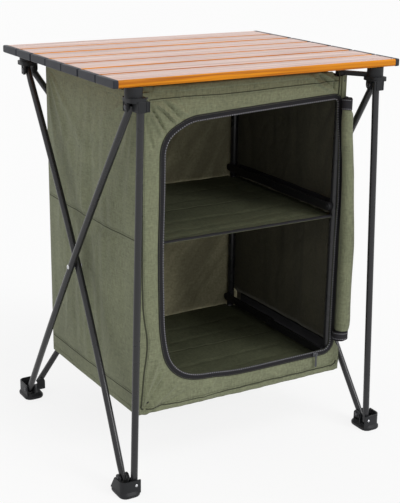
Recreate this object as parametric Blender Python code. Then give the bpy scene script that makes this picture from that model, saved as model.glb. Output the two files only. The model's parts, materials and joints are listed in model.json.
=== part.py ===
"""Folding camping cupboard.

Crossed tubes stand at the left, the right and the back, and two upright legs at the front. A top of
hinged slats rests on the four corner hubs. Four posts hang from the hubs and carry a fabric cupboard
with one shelf, a zipped front opening and its door rolled up at the right.
Metres, +X right, +Y back, +Z up, the middle of the footprint at the origin.
"""
import math

import bmesh
import bpy
from mathutils import Matrix, Vector

# Clearances
TOUCH_GAP = 0.0003
TUBE_CLEARANCE = 0.0009
CLOTH_GAP = 0.0004

# Slatted top
TABLE_WIDTH = 0.600
TABLE_DEPTH = 0.488
TABLE_TOP_Z = 0.760
SLAT_COUNT = 7
SLAT_GAP = 0.0025
SLAT_THICKNESS = 0.014
SLAT_WALL = 0.0012
END_CAP_THICKNESS = 0.009
END_CAP_PROUD = 0.0003
END_CAP_LAP = 0.003
CORD_HOLE_RADIUS = 0.003

# Tubes
BRACE_DIAMETER = 0.013
LEG_DIAMETER = 0.013
POST_DIAMETER = 0.016
TUBE_WALL = 0.001
TUBE_OVERRUN = 0.005
BOW_OUT = 0.005
BOW_IN = 0.009

# Where the crossed tubes pivot, from the table's edges and from each other
SIDE_INSET_X = 0.0425
SIDE_INSET_Y = 0.022
SIDE_SPLAY = 0.020
BACK_PIVOT_INSET = 0.015
BACK_PLANE_OFFSET = 0.0175
BACK_SPLAY = 0.0125
LEG_INSET = 0.0085
LEG_PLANE_OFFSET = 0.019
LEG_SPLAY = 0.0095

# Corner hubs
BLOCK_HEIGHT = 0.0177
BLOCK_RADIUS = 0.0155
BLOCK_INSET_X = 0.002
BLOCK_OFFSET_Y = 0.0065
PLATE_THICKNESS = 0.0075
PLATE_WIDTH = 0.032
PLATE_DEPTH = 0.0395
PLATE_CORNER = 0.009
PLATE_SHIFT_X = 0.001
PLATE_SHIFT_Y = 0.002
PIVOT_DROP = 0.0095
EAR_THICKNESS = 0.0026
EAR_RADIUS = 0.009
EAR_ROOT_DEPTH = 0.0025
FUSED_DEPTH = 0.0015
ARM_WIDTH = 0.012
ARM_THICKNESS = 0.008
ARM_RISE = 0.0057
POST_RING_RADIUS = 0.0105
RING_SET_BACK = 0.0005
PLUG_LENGTH = 0.012
PLUG_CLEARANCE = 0.0006
CLIP_HEIGHT = 0.018
CLIP_LIP = 0.006

# Feet: a flared pad and a cup's wall on it, round the end and the outer side
FOOT_PIVOT_Z = 0.022
FOOT_WIDTH = 0.042
FOOT_DEPTH = 0.055
FOOT_CORNER = 0.014
FOOT_ROUND = 0.00125
FOOT_ROUND_HEIGHT = 0.002
FOOT_EDGE_HEIGHT = 0.006
FOOT_HEIGHT = 0.013
FOOT_TAPER = 0.005
FOOT_OUTWARDS_FRONT = 0.0015
FOOT_INWARDS_REAR = 0.0085
FOOT_OFFSET_Y = 0.0145
BRACKET_RISE = 0.0048
CUP_HEIGHT = 0.032
CUP_CORNER = 0.0125
CUP_INSET = 0.0015
CUP_SLOPE_FRONT = 0.016
CUP_SLOPE_REAR = 0.003
BACK_BRACE_ROOM = 0.0135

# Rivets, and how their domed heads narrow: shares of the height and of the radius
RIVET_RADIUS = 0.0045
RIVET_HEIGHT = 0.0018
RIVET_DOME = [(0.0, 1.0), (0.5, 0.85), (1.0, 0.45)]
SHANK_RADIUS = 0.0024
SHANK_CLEARANCE = 0.0005

# Posts and folding side bars
POST_INSET_X = 0.041
POST_REAR_INSET_Y = 0.027
POST_FRONT_INSET_Y = 0.047
BAR_HEIGHT = 0.016
BAR_THICKNESS = 0.005
BAR_ABOVE_CLOTH = 0.012

# Fabric cupboard
CLOTH_THICKNESS = 0.0016
CUPBOARD_BOTTOM_Z = 0.125
CUPBOARD_TOP_DROP = 0.0017
SHELF_Z = 0.448
FLOOR_Z = 0.140
CEILING_DROP = 0.003
POST_NOTCH_GAP = 0.0015
FRONT_RISE = 0.0115
WALL_SWELL = 0.003
WALL_FOLD_DEPTH = 0.0025
WALL_FOLD_WIDTH = 0.062
WALL_FOLD_LEAN = 0.35
LEFT_FOLD_START = 0.0
RIGHT_FOLD_START = 1.7
BACK_FOLD_START = 0.9

# Front opening and its zip
OPENING_LEFT_BORDER = 0.056
OPENING_RIGHT_BORDER = 0.0125
OPENING_BOTTOM_BORDER = 0.0425
OPENING_TOP_BORDER = 0.0505
OPENING_RADIUS_TOP = 0.068
OPENING_RADIUS_BOTTOM = 0.098
HINGE_RADIUS_TOP = 0.012
HINGE_RADIUS_BOTTOM = 0.030
TAPE_WIDTH = 0.012
TAPE_THICKNESS = 0.0012
SLIDER_WIDTH = 0.009
SLIDER_LENGTH = 0.012
SLIDER_DEPTH = 0.004
SLIDER_CORNER = 0.0022
SLIDER_BEVEL = 0.0012
SLIDER_FROM_RIGHT = 0.036
PULL_LENGTH = 0.026
PULL_WIDTH = 0.005
PULL_THICKNESS = 0.0012
PULL_CORNER = 0.0016
PULL_EYE = 0.0005

# Rolled-up door
ROLL_RADIUS = 0.013
ROLL_BEYOND_POST = 0.0125
ROLL_FROM_BOTTOM = 0.0575
ROLL_FROM_TOP = 0.0385
ROLL_WAVE = 0.0012
ROLL_WAVE_LENGTH = 0.17
TIE_THICKNESS = 0.0015
TIE_HEIGHT = 0.022
TIE_FROM_END = 0.002

# Corner tabs that hook the front panel to the hubs' arms
TAB_WIDTH = 0.011
TAB_THICKNESS = 0.002
TAB_HEIGHT = 0.020
TAB_CORNER = 0.0027

# Facets
TUBE_BEVEL_RESOLUTION = 3
BRACE_STEPS = 6
ROLL_STEPS = 14
ROUND_STEPS = 16
RIVET_SIDES = 10
CORD_HOLE_SIDES = 8
CORNER_STEPS = 4
OPENING_STEPS = 8
WALL_ROWS = 8
FOLD_COLUMNS = 4
SMOOTH_ANGLE = math.radians(35)

# Heights that follow
TABLE_UNDERSIDE_Z = TABLE_TOP_Z - SLAT_THICKNESS
HUB_TOP_Z = TABLE_UNDERSIDE_Z - TOUCH_GAP
PLATE_TOP_Z = HUB_TOP_Z - BLOCK_HEIGHT
PLATE_BOTTOM_Z = PLATE_TOP_Z - PLATE_THICKNESS
HUB_PIVOT_Z = PLATE_BOTTOM_Z - PIVOT_DROP
ARM_BOTTOM_Z = PLATE_BOTTOM_Z + ARM_RISE
POST_TOP_Z = ARM_BOTTOM_Z - TOUCH_GAP
CUPBOARD_TOP_Z = ARM_BOTTOM_Z - CUPBOARD_TOP_DROP

# Places in plan, as distances out from the middle
SIDE_X_TOP = TABLE_WIDTH / 2 - SIDE_INSET_X
SIDE_X_FOOT = SIDE_X_TOP + SIDE_SPLAY
SIDE_Y = TABLE_DEPTH / 2 - SIDE_INSET_Y
BACK_X = SIDE_X_TOP - BACK_PIVOT_INSET
BACK_Y_TOP = SIDE_Y + BACK_PLANE_OFFSET
BACK_Y_FOOT = BACK_Y_TOP + BACK_SPLAY
LEG_X_TOP = SIDE_X_TOP - LEG_INSET
LEG_X_FOOT = LEG_X_TOP + SIDE_SPLAY
LEG_Y_TOP = SIDE_Y + LEG_PLANE_OFFSET
LEG_Y_FOOT = LEG_Y_TOP + LEG_SPLAY
POST_X = SIDE_X_TOP - POST_INSET_X
POST_REAR_Y = SIDE_Y - POST_REAR_INSET_Y
POST_FRONT_Y = SIDE_Y - POST_FRONT_INSET_Y

# Where the tubes cross
CROSS_Z = (HUB_PIVOT_Z + FOOT_PIVOT_Z) / 2
SIDE_X_CROSS = (SIDE_X_TOP + SIDE_X_FOOT) / 2
BACK_Y_CROSS = (BACK_Y_TOP + BACK_Y_FOOT) / 2

# Radii, sockets and cloth faces
BRACE_RADIUS = BRACE_DIAMETER / 2
LEG_RADIUS = LEG_DIAMETER / 2
POST_RADIUS = POST_DIAMETER / 2
BRACE_SOCKET = BRACE_RADIUS + TUBE_CLEARANCE
LEG_SOCKET = LEG_RADIUS + TUBE_CLEARANCE
WALL_X = POST_X + POST_RADIUS + CLOTH_GAP + CLOTH_THICKNESS / 2
BACK_WALL_Y = POST_REAR_Y + POST_RADIUS + CLOTH_GAP + CLOTH_THICKNESS / 2
FRONT_WALL_Y = -(POST_FRONT_Y + POST_RADIUS + CLOTH_GAP + CLOTH_THICKNESS / 2)
MIDDLE_Y = (POST_REAR_Y - POST_FRONT_Y) / 2
PANEL_HALF_WIDTH = WALL_X + CLOTH_THICKNESS / 2
SLAT_DEPTH = (TABLE_DEPTH - (SLAT_COUNT - 1) * SLAT_GAP) / SLAT_COUNT
SLAT_PITCH = SLAT_DEPTH + SLAT_GAP

FINISHES = {
    "black tube": ("2B2B2D", 0.42, 0.0),
    "black plastic": ("262628", 0.55, 0.0),
    "rivet": ("C6C7CA", 0.30, 1.0),
    "slat": ("C98A3C", 0.45, 0.0),
    "side bar": ("232325", 0.50, 0.0),
    "olive cloth": ("6F735B", 0.90, 0.0),
    "inner cloth": ("55583F", 0.90, 0.0),
    "zip tape": ("2A2A2C", 0.85, 0.0),
    "zip metal": ("8D8E92", 0.35, 1.0),
}

bodies = {}


def linear(hex_colour):
    """A colour written as sRGB hex, in the linear values that the shader takes."""
    values = []
    for start in (0, 2, 4):
        level = int(hex_colour[start:start + 2], 16) / 255
        values.append(level / 12.92 if level <= 0.04045 else ((level + 0.055) / 1.055) ** 2.4)
    return (*values, 1.0)


def make_material(name, finish):
    """The piece's own material, in one of the object's finishes."""
    colour, roughness, metallic = FINISHES[finish]
    material = bpy.data.materials.new(name + "_finish")
    material.use_nodes = True
    shader = material.node_tree.nodes["Principled BSDF"]
    shader.inputs["Base Color"].default_value = linear(colour)
    shader.inputs["Roughness"].default_value = roughness
    shader.inputs["Metallic"].default_value = metallic
    return material


def add_body(name, point, parent=None):
    """An empty on a joint's axis, from which the pieces that move there hang."""
    empty = bpy.data.objects.new("body_" + name, None)
    bpy.context.scene.collection.objects.link(empty)
    start = Vector(point)
    empty.location = start
    if parent is not None:
        empty.parent = bodies[parent][0]
        empty.location = start - bodies[parent][1]
    bodies[name] = (empty, start)


def add_piece(name, data, body, finish, smooth=False):
    """Hang a piece, drawn where it stands, from its body's empty."""
    empty, start = bodies[body]
    data.transform(Matrix.Translation(-start))
    data.materials.append(make_material(name, finish))
    if smooth:
        data.shade_smooth()
        data.set_sharp_from_angle(angle=SMOOTH_ANGLE)
    piece = bpy.data.objects.new(name, data)
    bpy.context.scene.collection.objects.link(piece)
    piece.parent = empty
    return piece


def circle(across, up, radius, steps=ROUND_STEPS):
    """A round outline."""
    turns = [2 * math.pi * step / steps for step in range(steps)]
    return [(across + radius * math.cos(turn), up + radius * math.sin(turn)) for turn in turns]


def rounded(low, high, radii, steps=CORNER_STEPS):
    """A rectangle's outline with its own radius at each corner, from the low corner round."""
    corners = [
        (low[0], low[1], 1, 1, math.pi),
        (high[0], low[1], -1, 1, 1.5 * math.pi),
        (high[0], high[1], -1, -1, 0.0),
        (low[0], high[1], 1, -1, 0.5 * math.pi),
    ]
    outline = []
    for (across, up, to_middle, to_centre, start), radius in zip(corners, radii):
        centre = (across + to_middle * radius, up + to_centre * radius)
        for step in range(steps + 1):
            turn = start + 0.5 * math.pi * step / steps
            outline.append((centre[0] + radius * math.cos(turn), centre[1] + radius * math.sin(turn)))
    return outline


def box_outline(low, high):
    """A plain rectangle's outline."""
    return [(low[0], low[1]), (high[0], low[1]), (high[0], high[1]), (low[0], high[1])]


def spot(axis, across, up, level):
    """A point of an outline that lies square to an axis."""
    places = {"x": (level, across, up), "y": (across, level, up), "z": (across, up, level)}
    return places[axis]


def loft(sections, axis="z"):
    """A closed mesh through like outlines at rising levels along an axis."""
    shape = bmesh.new()
    loops = []
    for outline, level in sections:
        loops.append([shape.verts.new(spot(axis, across, up, level)) for across, up in outline])
    for lower, upper in zip(loops, loops[1:]):
        for index in range(len(lower)):
            after = (index + 1) % len(lower)
            shape.faces.new((lower[index], lower[after], upper[after], upper[index]))
    shape.faces.new(loops[0])
    shape.faces.new(loops[-1])
    return closed(shape)


def prism(outline, low, high, axis="z"):
    """An outline given a thickness along an axis."""
    return loft([(outline, low), (outline, high)], axis)


def pierced(outer, inner, low, high, axis):
    """A flat plate with a hole, both of any outline."""
    shape = bmesh.new()
    edges = []
    for outline in (outer, inner):
        verts = [shape.verts.new(spot(axis, across, up, low)) for across, up in outline]
        edges += [shape.edges.new((verts[index - 1], verts[index])) for index in range(len(verts))]
    bmesh.ops.triangle_fill(shape, edges=edges, use_beauty=True)
    grown = bmesh.ops.extrude_face_region(shape, geom=shape.faces[:])
    moved = [item for item in grown["geom"] if isinstance(item, bmesh.types.BMVert)]
    bmesh.ops.translate(shape, verts=moved, vec=Vector(spot(axis, 0.0, 0.0, high - low)))
    return closed(shape)


def closed(shape):
    """The finished mesh of a bmesh, its faces turned outwards."""
    bmesh.ops.recalc_face_normals(shape, faces=shape.faces[:])
    mesh = bpy.data.meshes.new("shape")
    shape.to_mesh(mesh)
    shape.free()
    return mesh


def fused(meshes, cutters=()):
    """One closed mesh from solids that overlap, less the cutters."""
    helpers = [bpy.data.objects.new("helper", mesh) for mesh in (*meshes, *cutters)]
    for helper in helpers:
        bpy.context.scene.collection.objects.link(helper)
    base = helpers[0]
    for index, helper in enumerate(helpers[1:], start=1):
        step = base.modifiers.new("step", "BOOLEAN")
        step.operation = "UNION" if index < len(meshes) else "DIFFERENCE"
        step.solver = "EXACT"
        step.object = helper
    result = evaluated_mesh(base)
    for helper in helpers:
        mesh = helper.data
        bpy.data.objects.remove(helper)
        bpy.data.meshes.remove(mesh)
    return result


def evaluated_mesh(thing):
    """The mesh of an object with its modifiers applied."""
    view = bpy.context.evaluated_depsgraph_get()
    mesh = bpy.data.meshes.new_from_object(thing.evaluated_get(view))
    mesh.materials.clear()
    return mesh


def mirrored(mesh, side, end):
    """A corner piece, drawn for the right rear corner, moved to its own corner."""
    mesh.transform(Matrix.Diagonal((side, end, 1.0, 1.0)))
    if side * end < 0:
        mesh.flip_normals()
    return mesh


def ear(axis, across, pivot_z, root_z, low, high):
    """A flat ear of a socket, round about its pivot and square at its root."""
    away = EAR_RADIUS if pivot_z > root_z else -EAR_RADIUS
    outline = []
    for step in range(2 * CORNER_STEPS + 1):
        turn = math.pi * step / (2 * CORNER_STEPS)
        outline.append((across + EAR_RADIUS * math.cos(turn), pivot_z + away * math.sin(turn)))
    outline += [(across - EAR_RADIUS, root_z), (across + EAR_RADIUS, root_z)]
    return prism(outline, low, high, axis)


def ear_pair(axis, across, plane, socket, pivot_z, root_z):
    """The two ears of a socket, either side of a tube that turns in a plane."""
    reach = socket + EAR_THICKNESS
    return [
        ear(axis, across, pivot_z, root_z, plane + socket, plane + reach),
        ear(axis, across, pivot_z, root_z, plane - reach, plane - socket),
    ]


def dome(across, up, seat, outwards):
    """The sections of a rivet's domed head, from the face that it stands on outwards."""
    sections = []
    for height, width in RIVET_DOME:
        ring = circle(across, up, width * RIVET_RADIUS, RIVET_SIDES)
        sections.append((ring, seat + outwards * height * RIVET_HEIGHT))
    return sections


def rivet_head(axis, across, up, seat, outwards):
    """A domed rivet head, let a little into the face that it stands on."""
    sections = dome(across, up, seat, outwards)
    base = (sections[0][0], seat - outwards * TOUCH_GAP)
    return loft([base] + sections[1:], axis)


def rivet(axis, across, up, low, high):
    """A whole rivet: a shank through what it joins and a domed head on each end."""
    below = low - TOUCH_GAP
    above = high + TOUCH_GAP
    shank = circle(across, up, SHANK_RADIUS, RIVET_SIDES)
    lower_head = dome(across, up, below, -1)[::-1]
    upper_head = dome(across, up, above, 1)
    return loft(lower_head + [(shank, below), (shank, above)] + upper_head, axis)


def rivet_hole(axis, across, up, low, high):
    """The cutter for a rivet's hole."""
    return prism(circle(across, up, SHANK_RADIUS + SHANK_CLEARANCE, RIVET_SIDES), low, high, axis)


def tube(name, points, diameter, body, cutters=()):
    """A hollow round tube along a line of points."""
    curve = bpy.data.curves.new(name, "CURVE")
    curve.dimensions = "3D"
    curve.bevel_depth = diameter / 2
    curve.bevel_resolution = TUBE_BEVEL_RESOLUTION
    spline = curve.splines.new("POLY")
    spline.points.add(len(points) - 1)
    for point, place in zip(spline.points, points):
        point.co = (*place, 1.0)
    guide = bpy.data.objects.new("guide", curve)
    bpy.context.scene.collection.objects.link(guide)
    wall = guide.modifiers.new("wall", "SOLIDIFY")
    wall.thickness = TUBE_WALL
    wall.offset = -1.0
    mesh = evaluated_mesh(guide)
    bpy.data.objects.remove(guide)
    bpy.data.curves.remove(curve)
    if cutters:
        mesh = fused([mesh], cutters)
    add_piece(name, mesh, body, "black tube", smooth=True)


def bowed(top, bottom, sideways, bow):
    """Points along a tube that runs a little past both pivots and bows sideways between them."""
    start = Vector(top)
    run = Vector(bottom) - start
    past = TUBE_OVERRUN / run.length
    points = []
    for step in range(BRACE_STEPS + 1):
        share = -past + (1 + 2 * past) * step / BRACE_STEPS
        swing = bow * math.sin(math.pi * min(max(share, 0.0), 1.0))
        points.append(start + share * run + swing * Vector(sideways))
    return points


def slat_y(index):
    """The middle of a slat, counted from the rear."""
    return TABLE_DEPTH / 2 - SLAT_DEPTH / 2 - index * SLAT_PITCH


def fold_y(index):
    """The fold between a slat and the one behind it."""
    return slat_y(index) + SLAT_PITCH / 2


def make_bodies():
    """The joints' places, each body on the one that carries it."""
    add_body("rear_left_hub", (0.0, 0.0, 0.0))
    add_body("left_inner_brace", (-SIDE_X_TOP, SIDE_Y, HUB_PIVOT_Z), "rear_left_hub")
    add_body("left_outer_brace", (-SIDE_X_CROSS, 0.0, CROSS_Z), "left_inner_brace")
    add_body("front_left_hub", (-SIDE_X_TOP, -SIDE_Y, HUB_PIVOT_Z), "left_outer_brace")
    add_body("front_left_foot", (-SIDE_X_FOOT, -SIDE_Y, FOOT_PIVOT_Z), "left_inner_brace")
    add_body("rear_left_foot", (-SIDE_X_FOOT, SIDE_Y, FOOT_PIVOT_Z), "left_outer_brace")
    add_body("back_outer_brace", (-BACK_X, BACK_Y_TOP, HUB_PIVOT_Z), "rear_left_hub")
    add_body("back_inner_brace", (0.0, BACK_Y_CROSS, CROSS_Z), "back_outer_brace")
    add_body("rear_right_hub", (BACK_X, BACK_Y_TOP, HUB_PIVOT_Z), "back_inner_brace")
    add_body("right_inner_brace", (SIDE_X_TOP, SIDE_Y, HUB_PIVOT_Z), "rear_right_hub")
    add_body("right_outer_brace", (SIDE_X_CROSS, 0.0, CROSS_Z), "right_inner_brace")
    add_body("front_right_hub", (SIDE_X_TOP, -SIDE_Y, HUB_PIVOT_Z), "right_outer_brace")
    add_body("front_right_foot", (SIDE_X_FOOT, -SIDE_Y, FOOT_PIVOT_Z), "right_inner_brace")
    add_body("rear_right_foot", (SIDE_X_FOOT, SIDE_Y, FOOT_PIVOT_Z), "right_outer_brace")
    for side_name, side in (("left", -1), ("right", 1)):
        leg_foot = (side * LEG_X_FOOT, -LEG_Y_FOOT, FOOT_PIVOT_Z)
        add_body(f"front_{side_name}_leg", leg_foot, f"front_{side_name}_foot")
        for level_name, cloth_z in (("shelf", SHELF_Z), ("floor", FLOOR_Z)):
            bar_z = bar_middle_z(cloth_z)
            rear_point = (side * bar_plane_x(0), POST_REAR_Y, bar_z)
            front_point = (side * bar_plane_x(1), -POST_FRONT_Y, bar_z)
            add_body(f"{side_name}_{level_name}_bar_rear", rear_point, f"rear_{side_name}_hub")
            add_body(f"{side_name}_{level_name}_bar_front", front_point, f"front_{side_name}_hub")
    add_body("slat_1", (0.0, slat_y(0), TABLE_TOP_Z), "rear_left_hub")
    for index in range(1, SLAT_COUNT):
        add_body(f"slat_{index + 1}", (0.0, fold_y(index), TABLE_TOP_Z), f"slat_{index}")
    add_body("zip_slider", slider_point(), "front_right_hub")
    add_body("zip_pull", pull_point(), "zip_slider")


def make_hubs():
    """Four corner hubs: a block under the top, ears for the tubes, and an arm with a plug for the post."""
    for side_name, side in (("left", -1), ("right", 1)):
        for end_name, end in (("front", -1), ("rear", 1)):
            name = f"{end_name}_{side_name}_hub"
            mesh = mirrored(fused(hub_solids(end_name)), side, end)
            add_piece("hub_" + f"{end_name}_{side_name}", mesh, name, "black plastic", smooth=True)


def hub_solids(end_name):
    """The overlapping solids of a hub, drawn for the right rear corner."""
    block_x = SIDE_X_TOP - BLOCK_INSET_X
    block_y = SIDE_Y + BLOCK_OFFSET_Y
    post_y = POST_REAR_Y if end_name == "rear" else POST_FRONT_Y
    root_z = PLATE_BOTTOM_Z + EAR_ROOT_DEPTH
    half_width = PLATE_WIDTH / 2
    half_depth = PLATE_DEPTH / 2
    plate_middle = (block_x - PLATE_SHIFT_X, block_y + PLATE_SHIFT_Y)
    plate = rounded(
        (plate_middle[0] - half_width, plate_middle[1] - half_depth),
        (plate_middle[0] + half_width, plate_middle[1] + half_depth),
        [PLATE_CORNER] * 4,
    )
    block = circle(block_x, block_y, BLOCK_RADIUS, 2 * ROUND_STEPS)
    solids = [prism(plate, PLATE_BOTTOM_Z, PLATE_TOP_Z)]
    solids.append(prism(block, PLATE_TOP_Z - FUSED_DEPTH, HUB_TOP_Z))
    solids += ear_pair("x", SIDE_Y, SIDE_X_TOP, BRACE_SOCKET, HUB_PIVOT_Z, root_z)
    reach = BRACE_SOCKET + EAR_THICKNESS
    solids.append(rivet_head("x", SIDE_Y, HUB_PIVOT_Z, SIDE_X_TOP + reach, 1))
    solids.append(rivet_head("x", SIDE_Y, HUB_PIVOT_Z, SIDE_X_TOP - reach, -1))
    if end_name == "rear":
        solids += ear_pair("y", BACK_X, BACK_Y_TOP, BRACE_SOCKET, HUB_PIVOT_Z, root_z)
        solids.append(rivet_head("y", BACK_X, HUB_PIVOT_Z, BACK_Y_TOP + reach, 1))
    else:
        clip_top = PLATE_BOTTOM_Z + FUSED_DEPTH
        solids.append(prism(clip_outline(), clip_top - CLIP_HEIGHT, clip_top))
    arm = arm_outline((block_x, block_y), (POST_X, post_y))
    arm_top = ARM_BOTTOM_Z + ARM_THICKNESS
    solids.append(prism(arm, ARM_BOTTOM_Z, arm_top))
    ring = circle(POST_X, post_y, POST_RING_RADIUS)
    solids.append(prism(ring, ARM_BOTTOM_Z + RING_SET_BACK, arm_top - RING_SET_BACK))
    plug = circle(POST_X, post_y, POST_RADIUS - TUBE_WALL - PLUG_CLEARANCE)
    solids.append(prism(plug, ARM_BOTTOM_Z - PLUG_LENGTH, ARM_BOTTOM_Z + ARM_THICKNESS / 2))
    return solids


def clip_outline():
    """The leg's clip seen from above, open on its inboard side."""
    inner = LEG_SOCKET
    outer = LEG_SOCKET + EAR_THICKNESS
    mouth = LEG_X_TOP - CLIP_LIP
    return [
        (mouth, LEG_Y_TOP - outer),
        (LEG_X_TOP + outer, LEG_Y_TOP - outer),
        (LEG_X_TOP + outer, LEG_Y_TOP + outer),
        (mouth, LEG_Y_TOP + outer),
        (mouth, LEG_Y_TOP + inner),
        (LEG_X_TOP + inner, LEG_Y_TOP + inner),
        (LEG_X_TOP + inner, LEG_Y_TOP - inner),
        (mouth, LEG_Y_TOP - inner),
    ]


def arm_outline(start, end):
    """A straight arm between two points, seen from above."""
    first = Vector(start)
    last = Vector(end)
    along = (last - first).normalized()
    across = Vector((-along.y, along.x)) * ARM_WIDTH / 2
    return [tuple(first - across), tuple(last - across), tuple(last + across), tuple(first + across)]


def make_feet():
    """Four feet: a flared pad with ears for the tubes that stand in it."""
    for side_name, side in (("left", -1), ("right", 1)):
        for end_name, end in (("front", -1), ("rear", 1)):
            name = f"{end_name}_{side_name}_foot"
            mesh = mirrored(fused(foot_solids(end_name), foot_cutters(end_name)), side, end)
            add_piece("foot_" + f"{end_name}_{side_name}", mesh, name, "black plastic", smooth=True)


def foot_middle_x(end_name):
    """The middle of a foot's pad, measured out from the cupboard's middle."""
    if end_name == "front":
        return SIDE_X_FOOT + FOOT_OUTWARDS_FRONT
    return SIDE_X_FOOT - FOOT_INWARDS_REAR


def foot_pad(middle):
    """A foot's flat pad, rounded below and drawn in above."""
    levels = [
        (0.0, FOOT_ROUND),
        (FOOT_ROUND_HEIGHT, 0.0),
        (FOOT_EDGE_HEIGHT, 0.0),
        (FOOT_HEIGHT, FOOT_TAPER),
    ]
    sections = []
    for level, inset in levels:
        half_width = FOOT_WIDTH / 2 - inset
        half_depth = FOOT_DEPTH / 2 - inset
        low = (middle[0] - half_width, middle[1] - half_depth)
        high = (middle[0] + half_width, middle[1] + half_depth)
        sections.append((rounded(low, high, [FOOT_CORNER - inset] * 4), level))
    return loft(sections)


def cup_outline(face, start):
    """A cup's wall seen from above: along the end, round the corner and back along the outer side."""
    centre = (face[0] - CUP_CORNER, face[1] - CUP_CORNER)
    outer = [(start[0], face[1])]
    inner = [(start[0], face[1] - EAR_THICKNESS)]
    for line, radius in ((outer, CUP_CORNER), (inner, CUP_CORNER - EAR_THICKNESS)):
        for step in range(CORNER_STEPS + 1):
            turn = 0.5 * math.pi * (1 - step / CORNER_STEPS)
            line.append((centre[0] + radius * math.cos(turn), centre[1] + radius * math.sin(turn)))
    outer.append((face[0], start[1]))
    inner.append((face[0] - EAR_THICKNESS, start[1]))
    return outer + inner[::-1]


def foot_cup(face, start, slope):
    """A cup's wall with its outer side sloping up from the pad."""
    top_start = (start[0], start[1] + slope)
    return loft([(cup_outline(face, start), FOOT_EDGE_HEIGHT), (cup_outline(face, top_start), CUP_HEIGHT)])


def foot_solids(end_name):
    """The overlapping solids of a foot, drawn for the right rear corner."""
    middle = (foot_middle_x(end_name), SIDE_Y + FOOT_OFFSET_Y)
    root_z = FOOT_EDGE_HEIGHT
    reach = BRACE_SOCKET + EAR_THICKNESS
    side_start_y = SIDE_Y - EAR_RADIUS
    solids = [
        foot_pad(middle),
        rivet_head("x", SIDE_Y, FOOT_PIVOT_Z, SIDE_X_FOOT + reach, 1),
        rivet_head("x", SIDE_Y, FOOT_PIVOT_Z, SIDE_X_FOOT - reach, -1),
    ]
    if end_name == "front":
        leg_reach = LEG_SOCKET + EAR_THICKNESS
        cup_face = (middle[0] + FOOT_WIDTH / 2 - CUP_INSET, LEG_Y_FOOT + leg_reach)
        cup_start = (LEG_X_FOOT - EAR_RADIUS, side_start_y)
        ear_low = LEG_Y_FOOT - leg_reach
        solids += ear_pair("x", SIDE_Y, SIDE_X_FOOT, BRACE_SOCKET, FOOT_PIVOT_Z, root_z)
        solids.append(ear("y", LEG_X_FOOT, FOOT_PIVOT_Z, root_z, ear_low, ear_low + EAR_THICKNESS))
        solids.append(foot_cup(cup_face, cup_start, CUP_SLOPE_FRONT))
        return solids
    cup_face = (SIDE_X_FOOT + reach, BACK_Y_FOOT + reach)
    cup_start = (BACK_X + BACK_BRACE_ROOM, side_start_y)
    ear_low = BACK_Y_FOOT - reach
    bracket_low = (BACK_X - EAR_RADIUS, ear_low + TOUCH_GAP)
    bracket_high = (middle[0], BACK_Y_FOOT + BRACE_RADIUS)
    bracket = box_outline(bracket_low, bracket_high)
    solids.append(ear("x", SIDE_Y, FOOT_PIVOT_Z, root_z, SIDE_X_FOOT - reach, SIDE_X_FOOT - BRACE_SOCKET))
    solids.append(foot_cup(cup_face, cup_start, CUP_SLOPE_REAR))
    solids.append(ear("y", BACK_X, FOOT_PIVOT_Z, root_z, ear_low, ear_low + EAR_THICKNESS))
    solids.append(prism(bracket, BRACKET_RISE, FOOT_HEIGHT - TOUCH_GAP))
    return solids


def foot_cutters(end_name):
    """The hole for a front leg's rivet."""
    if end_name == "rear":
        return []
    reach = LEG_SOCKET + 2 * EAR_THICKNESS
    return [rivet_hole("y", LEG_X_FOOT, FOOT_PIVOT_Z, LEG_Y_FOOT - reach, LEG_Y_FOOT + reach)]


def make_braces():
    """Three crossed pairs of tubes, each with its rivet: at the left, the right and the back."""
    for side_name, side in (("left", -1), ("right", 1)):
        hub_rear = (side * SIDE_X_TOP, SIDE_Y, HUB_PIVOT_Z)
        hub_front = (side * SIDE_X_TOP, -SIDE_Y, HUB_PIVOT_Z)
        foot_rear = (side * SIDE_X_FOOT, SIDE_Y, FOOT_PIVOT_Z)
        foot_front = (side * SIDE_X_FOOT, -SIDE_Y, FOOT_PIVOT_Z)
        outwards = (side, 0.0, 0.0)
        for layer, line in (
            ("inner", bowed(hub_rear, foot_front, outwards, -BOW_IN)),
            ("outer", bowed(hub_front, foot_rear, outwards, BOW_OUT)),
        ):
            hole = rivet_hole("x", 0.0, CROSS_Z, side * SIDE_X_TOP / 2, side * 2 * SIDE_X_TOP)
            tube(f"brace_{side_name}_{layer}", line, BRACE_DIAMETER, f"{side_name}_{layer}_brace", [hole])
        rivet_low = SIDE_X_CROSS - BOW_IN - BRACE_RADIUS
        rivet_high = SIDE_X_CROSS + BOW_OUT + BRACE_RADIUS
        pin = mirrored(rivet("x", 0.0, CROSS_Z, rivet_low, rivet_high), side, 1)
        add_piece(f"rivet_cross_{side_name}", pin, f"{side_name}_outer_brace", "rivet", smooth=True)
    back = (0.0, 1.0, 0.0)
    hub_left = (-BACK_X, BACK_Y_TOP, HUB_PIVOT_Z)
    hub_right = (BACK_X, BACK_Y_TOP, HUB_PIVOT_Z)
    foot_left = (-BACK_X, BACK_Y_FOOT, FOOT_PIVOT_Z)
    foot_right = (BACK_X, BACK_Y_FOOT, FOOT_PIVOT_Z)
    for layer, line in (
        ("outer", bowed(hub_left, foot_right, back, BOW_OUT)),
        ("inner", bowed(hub_right, foot_left, back, -BOW_IN)),
    ):
        hole = rivet_hole("y", 0.0, CROSS_Z, SIDE_Y / 2, 2 * SIDE_Y)
        tube(f"brace_back_{layer}", line, BRACE_DIAMETER, f"back_{layer}_brace", [hole])
    rivet_low = BACK_Y_CROSS - BOW_IN - BRACE_RADIUS
    rivet_high = BACK_Y_CROSS + BOW_OUT + BRACE_RADIUS
    pin = rivet("y", 0.0, CROSS_Z, rivet_low, rivet_high)
    add_piece("rivet_cross_back", pin, "back_outer_brace", "rivet", smooth=True)


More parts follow.
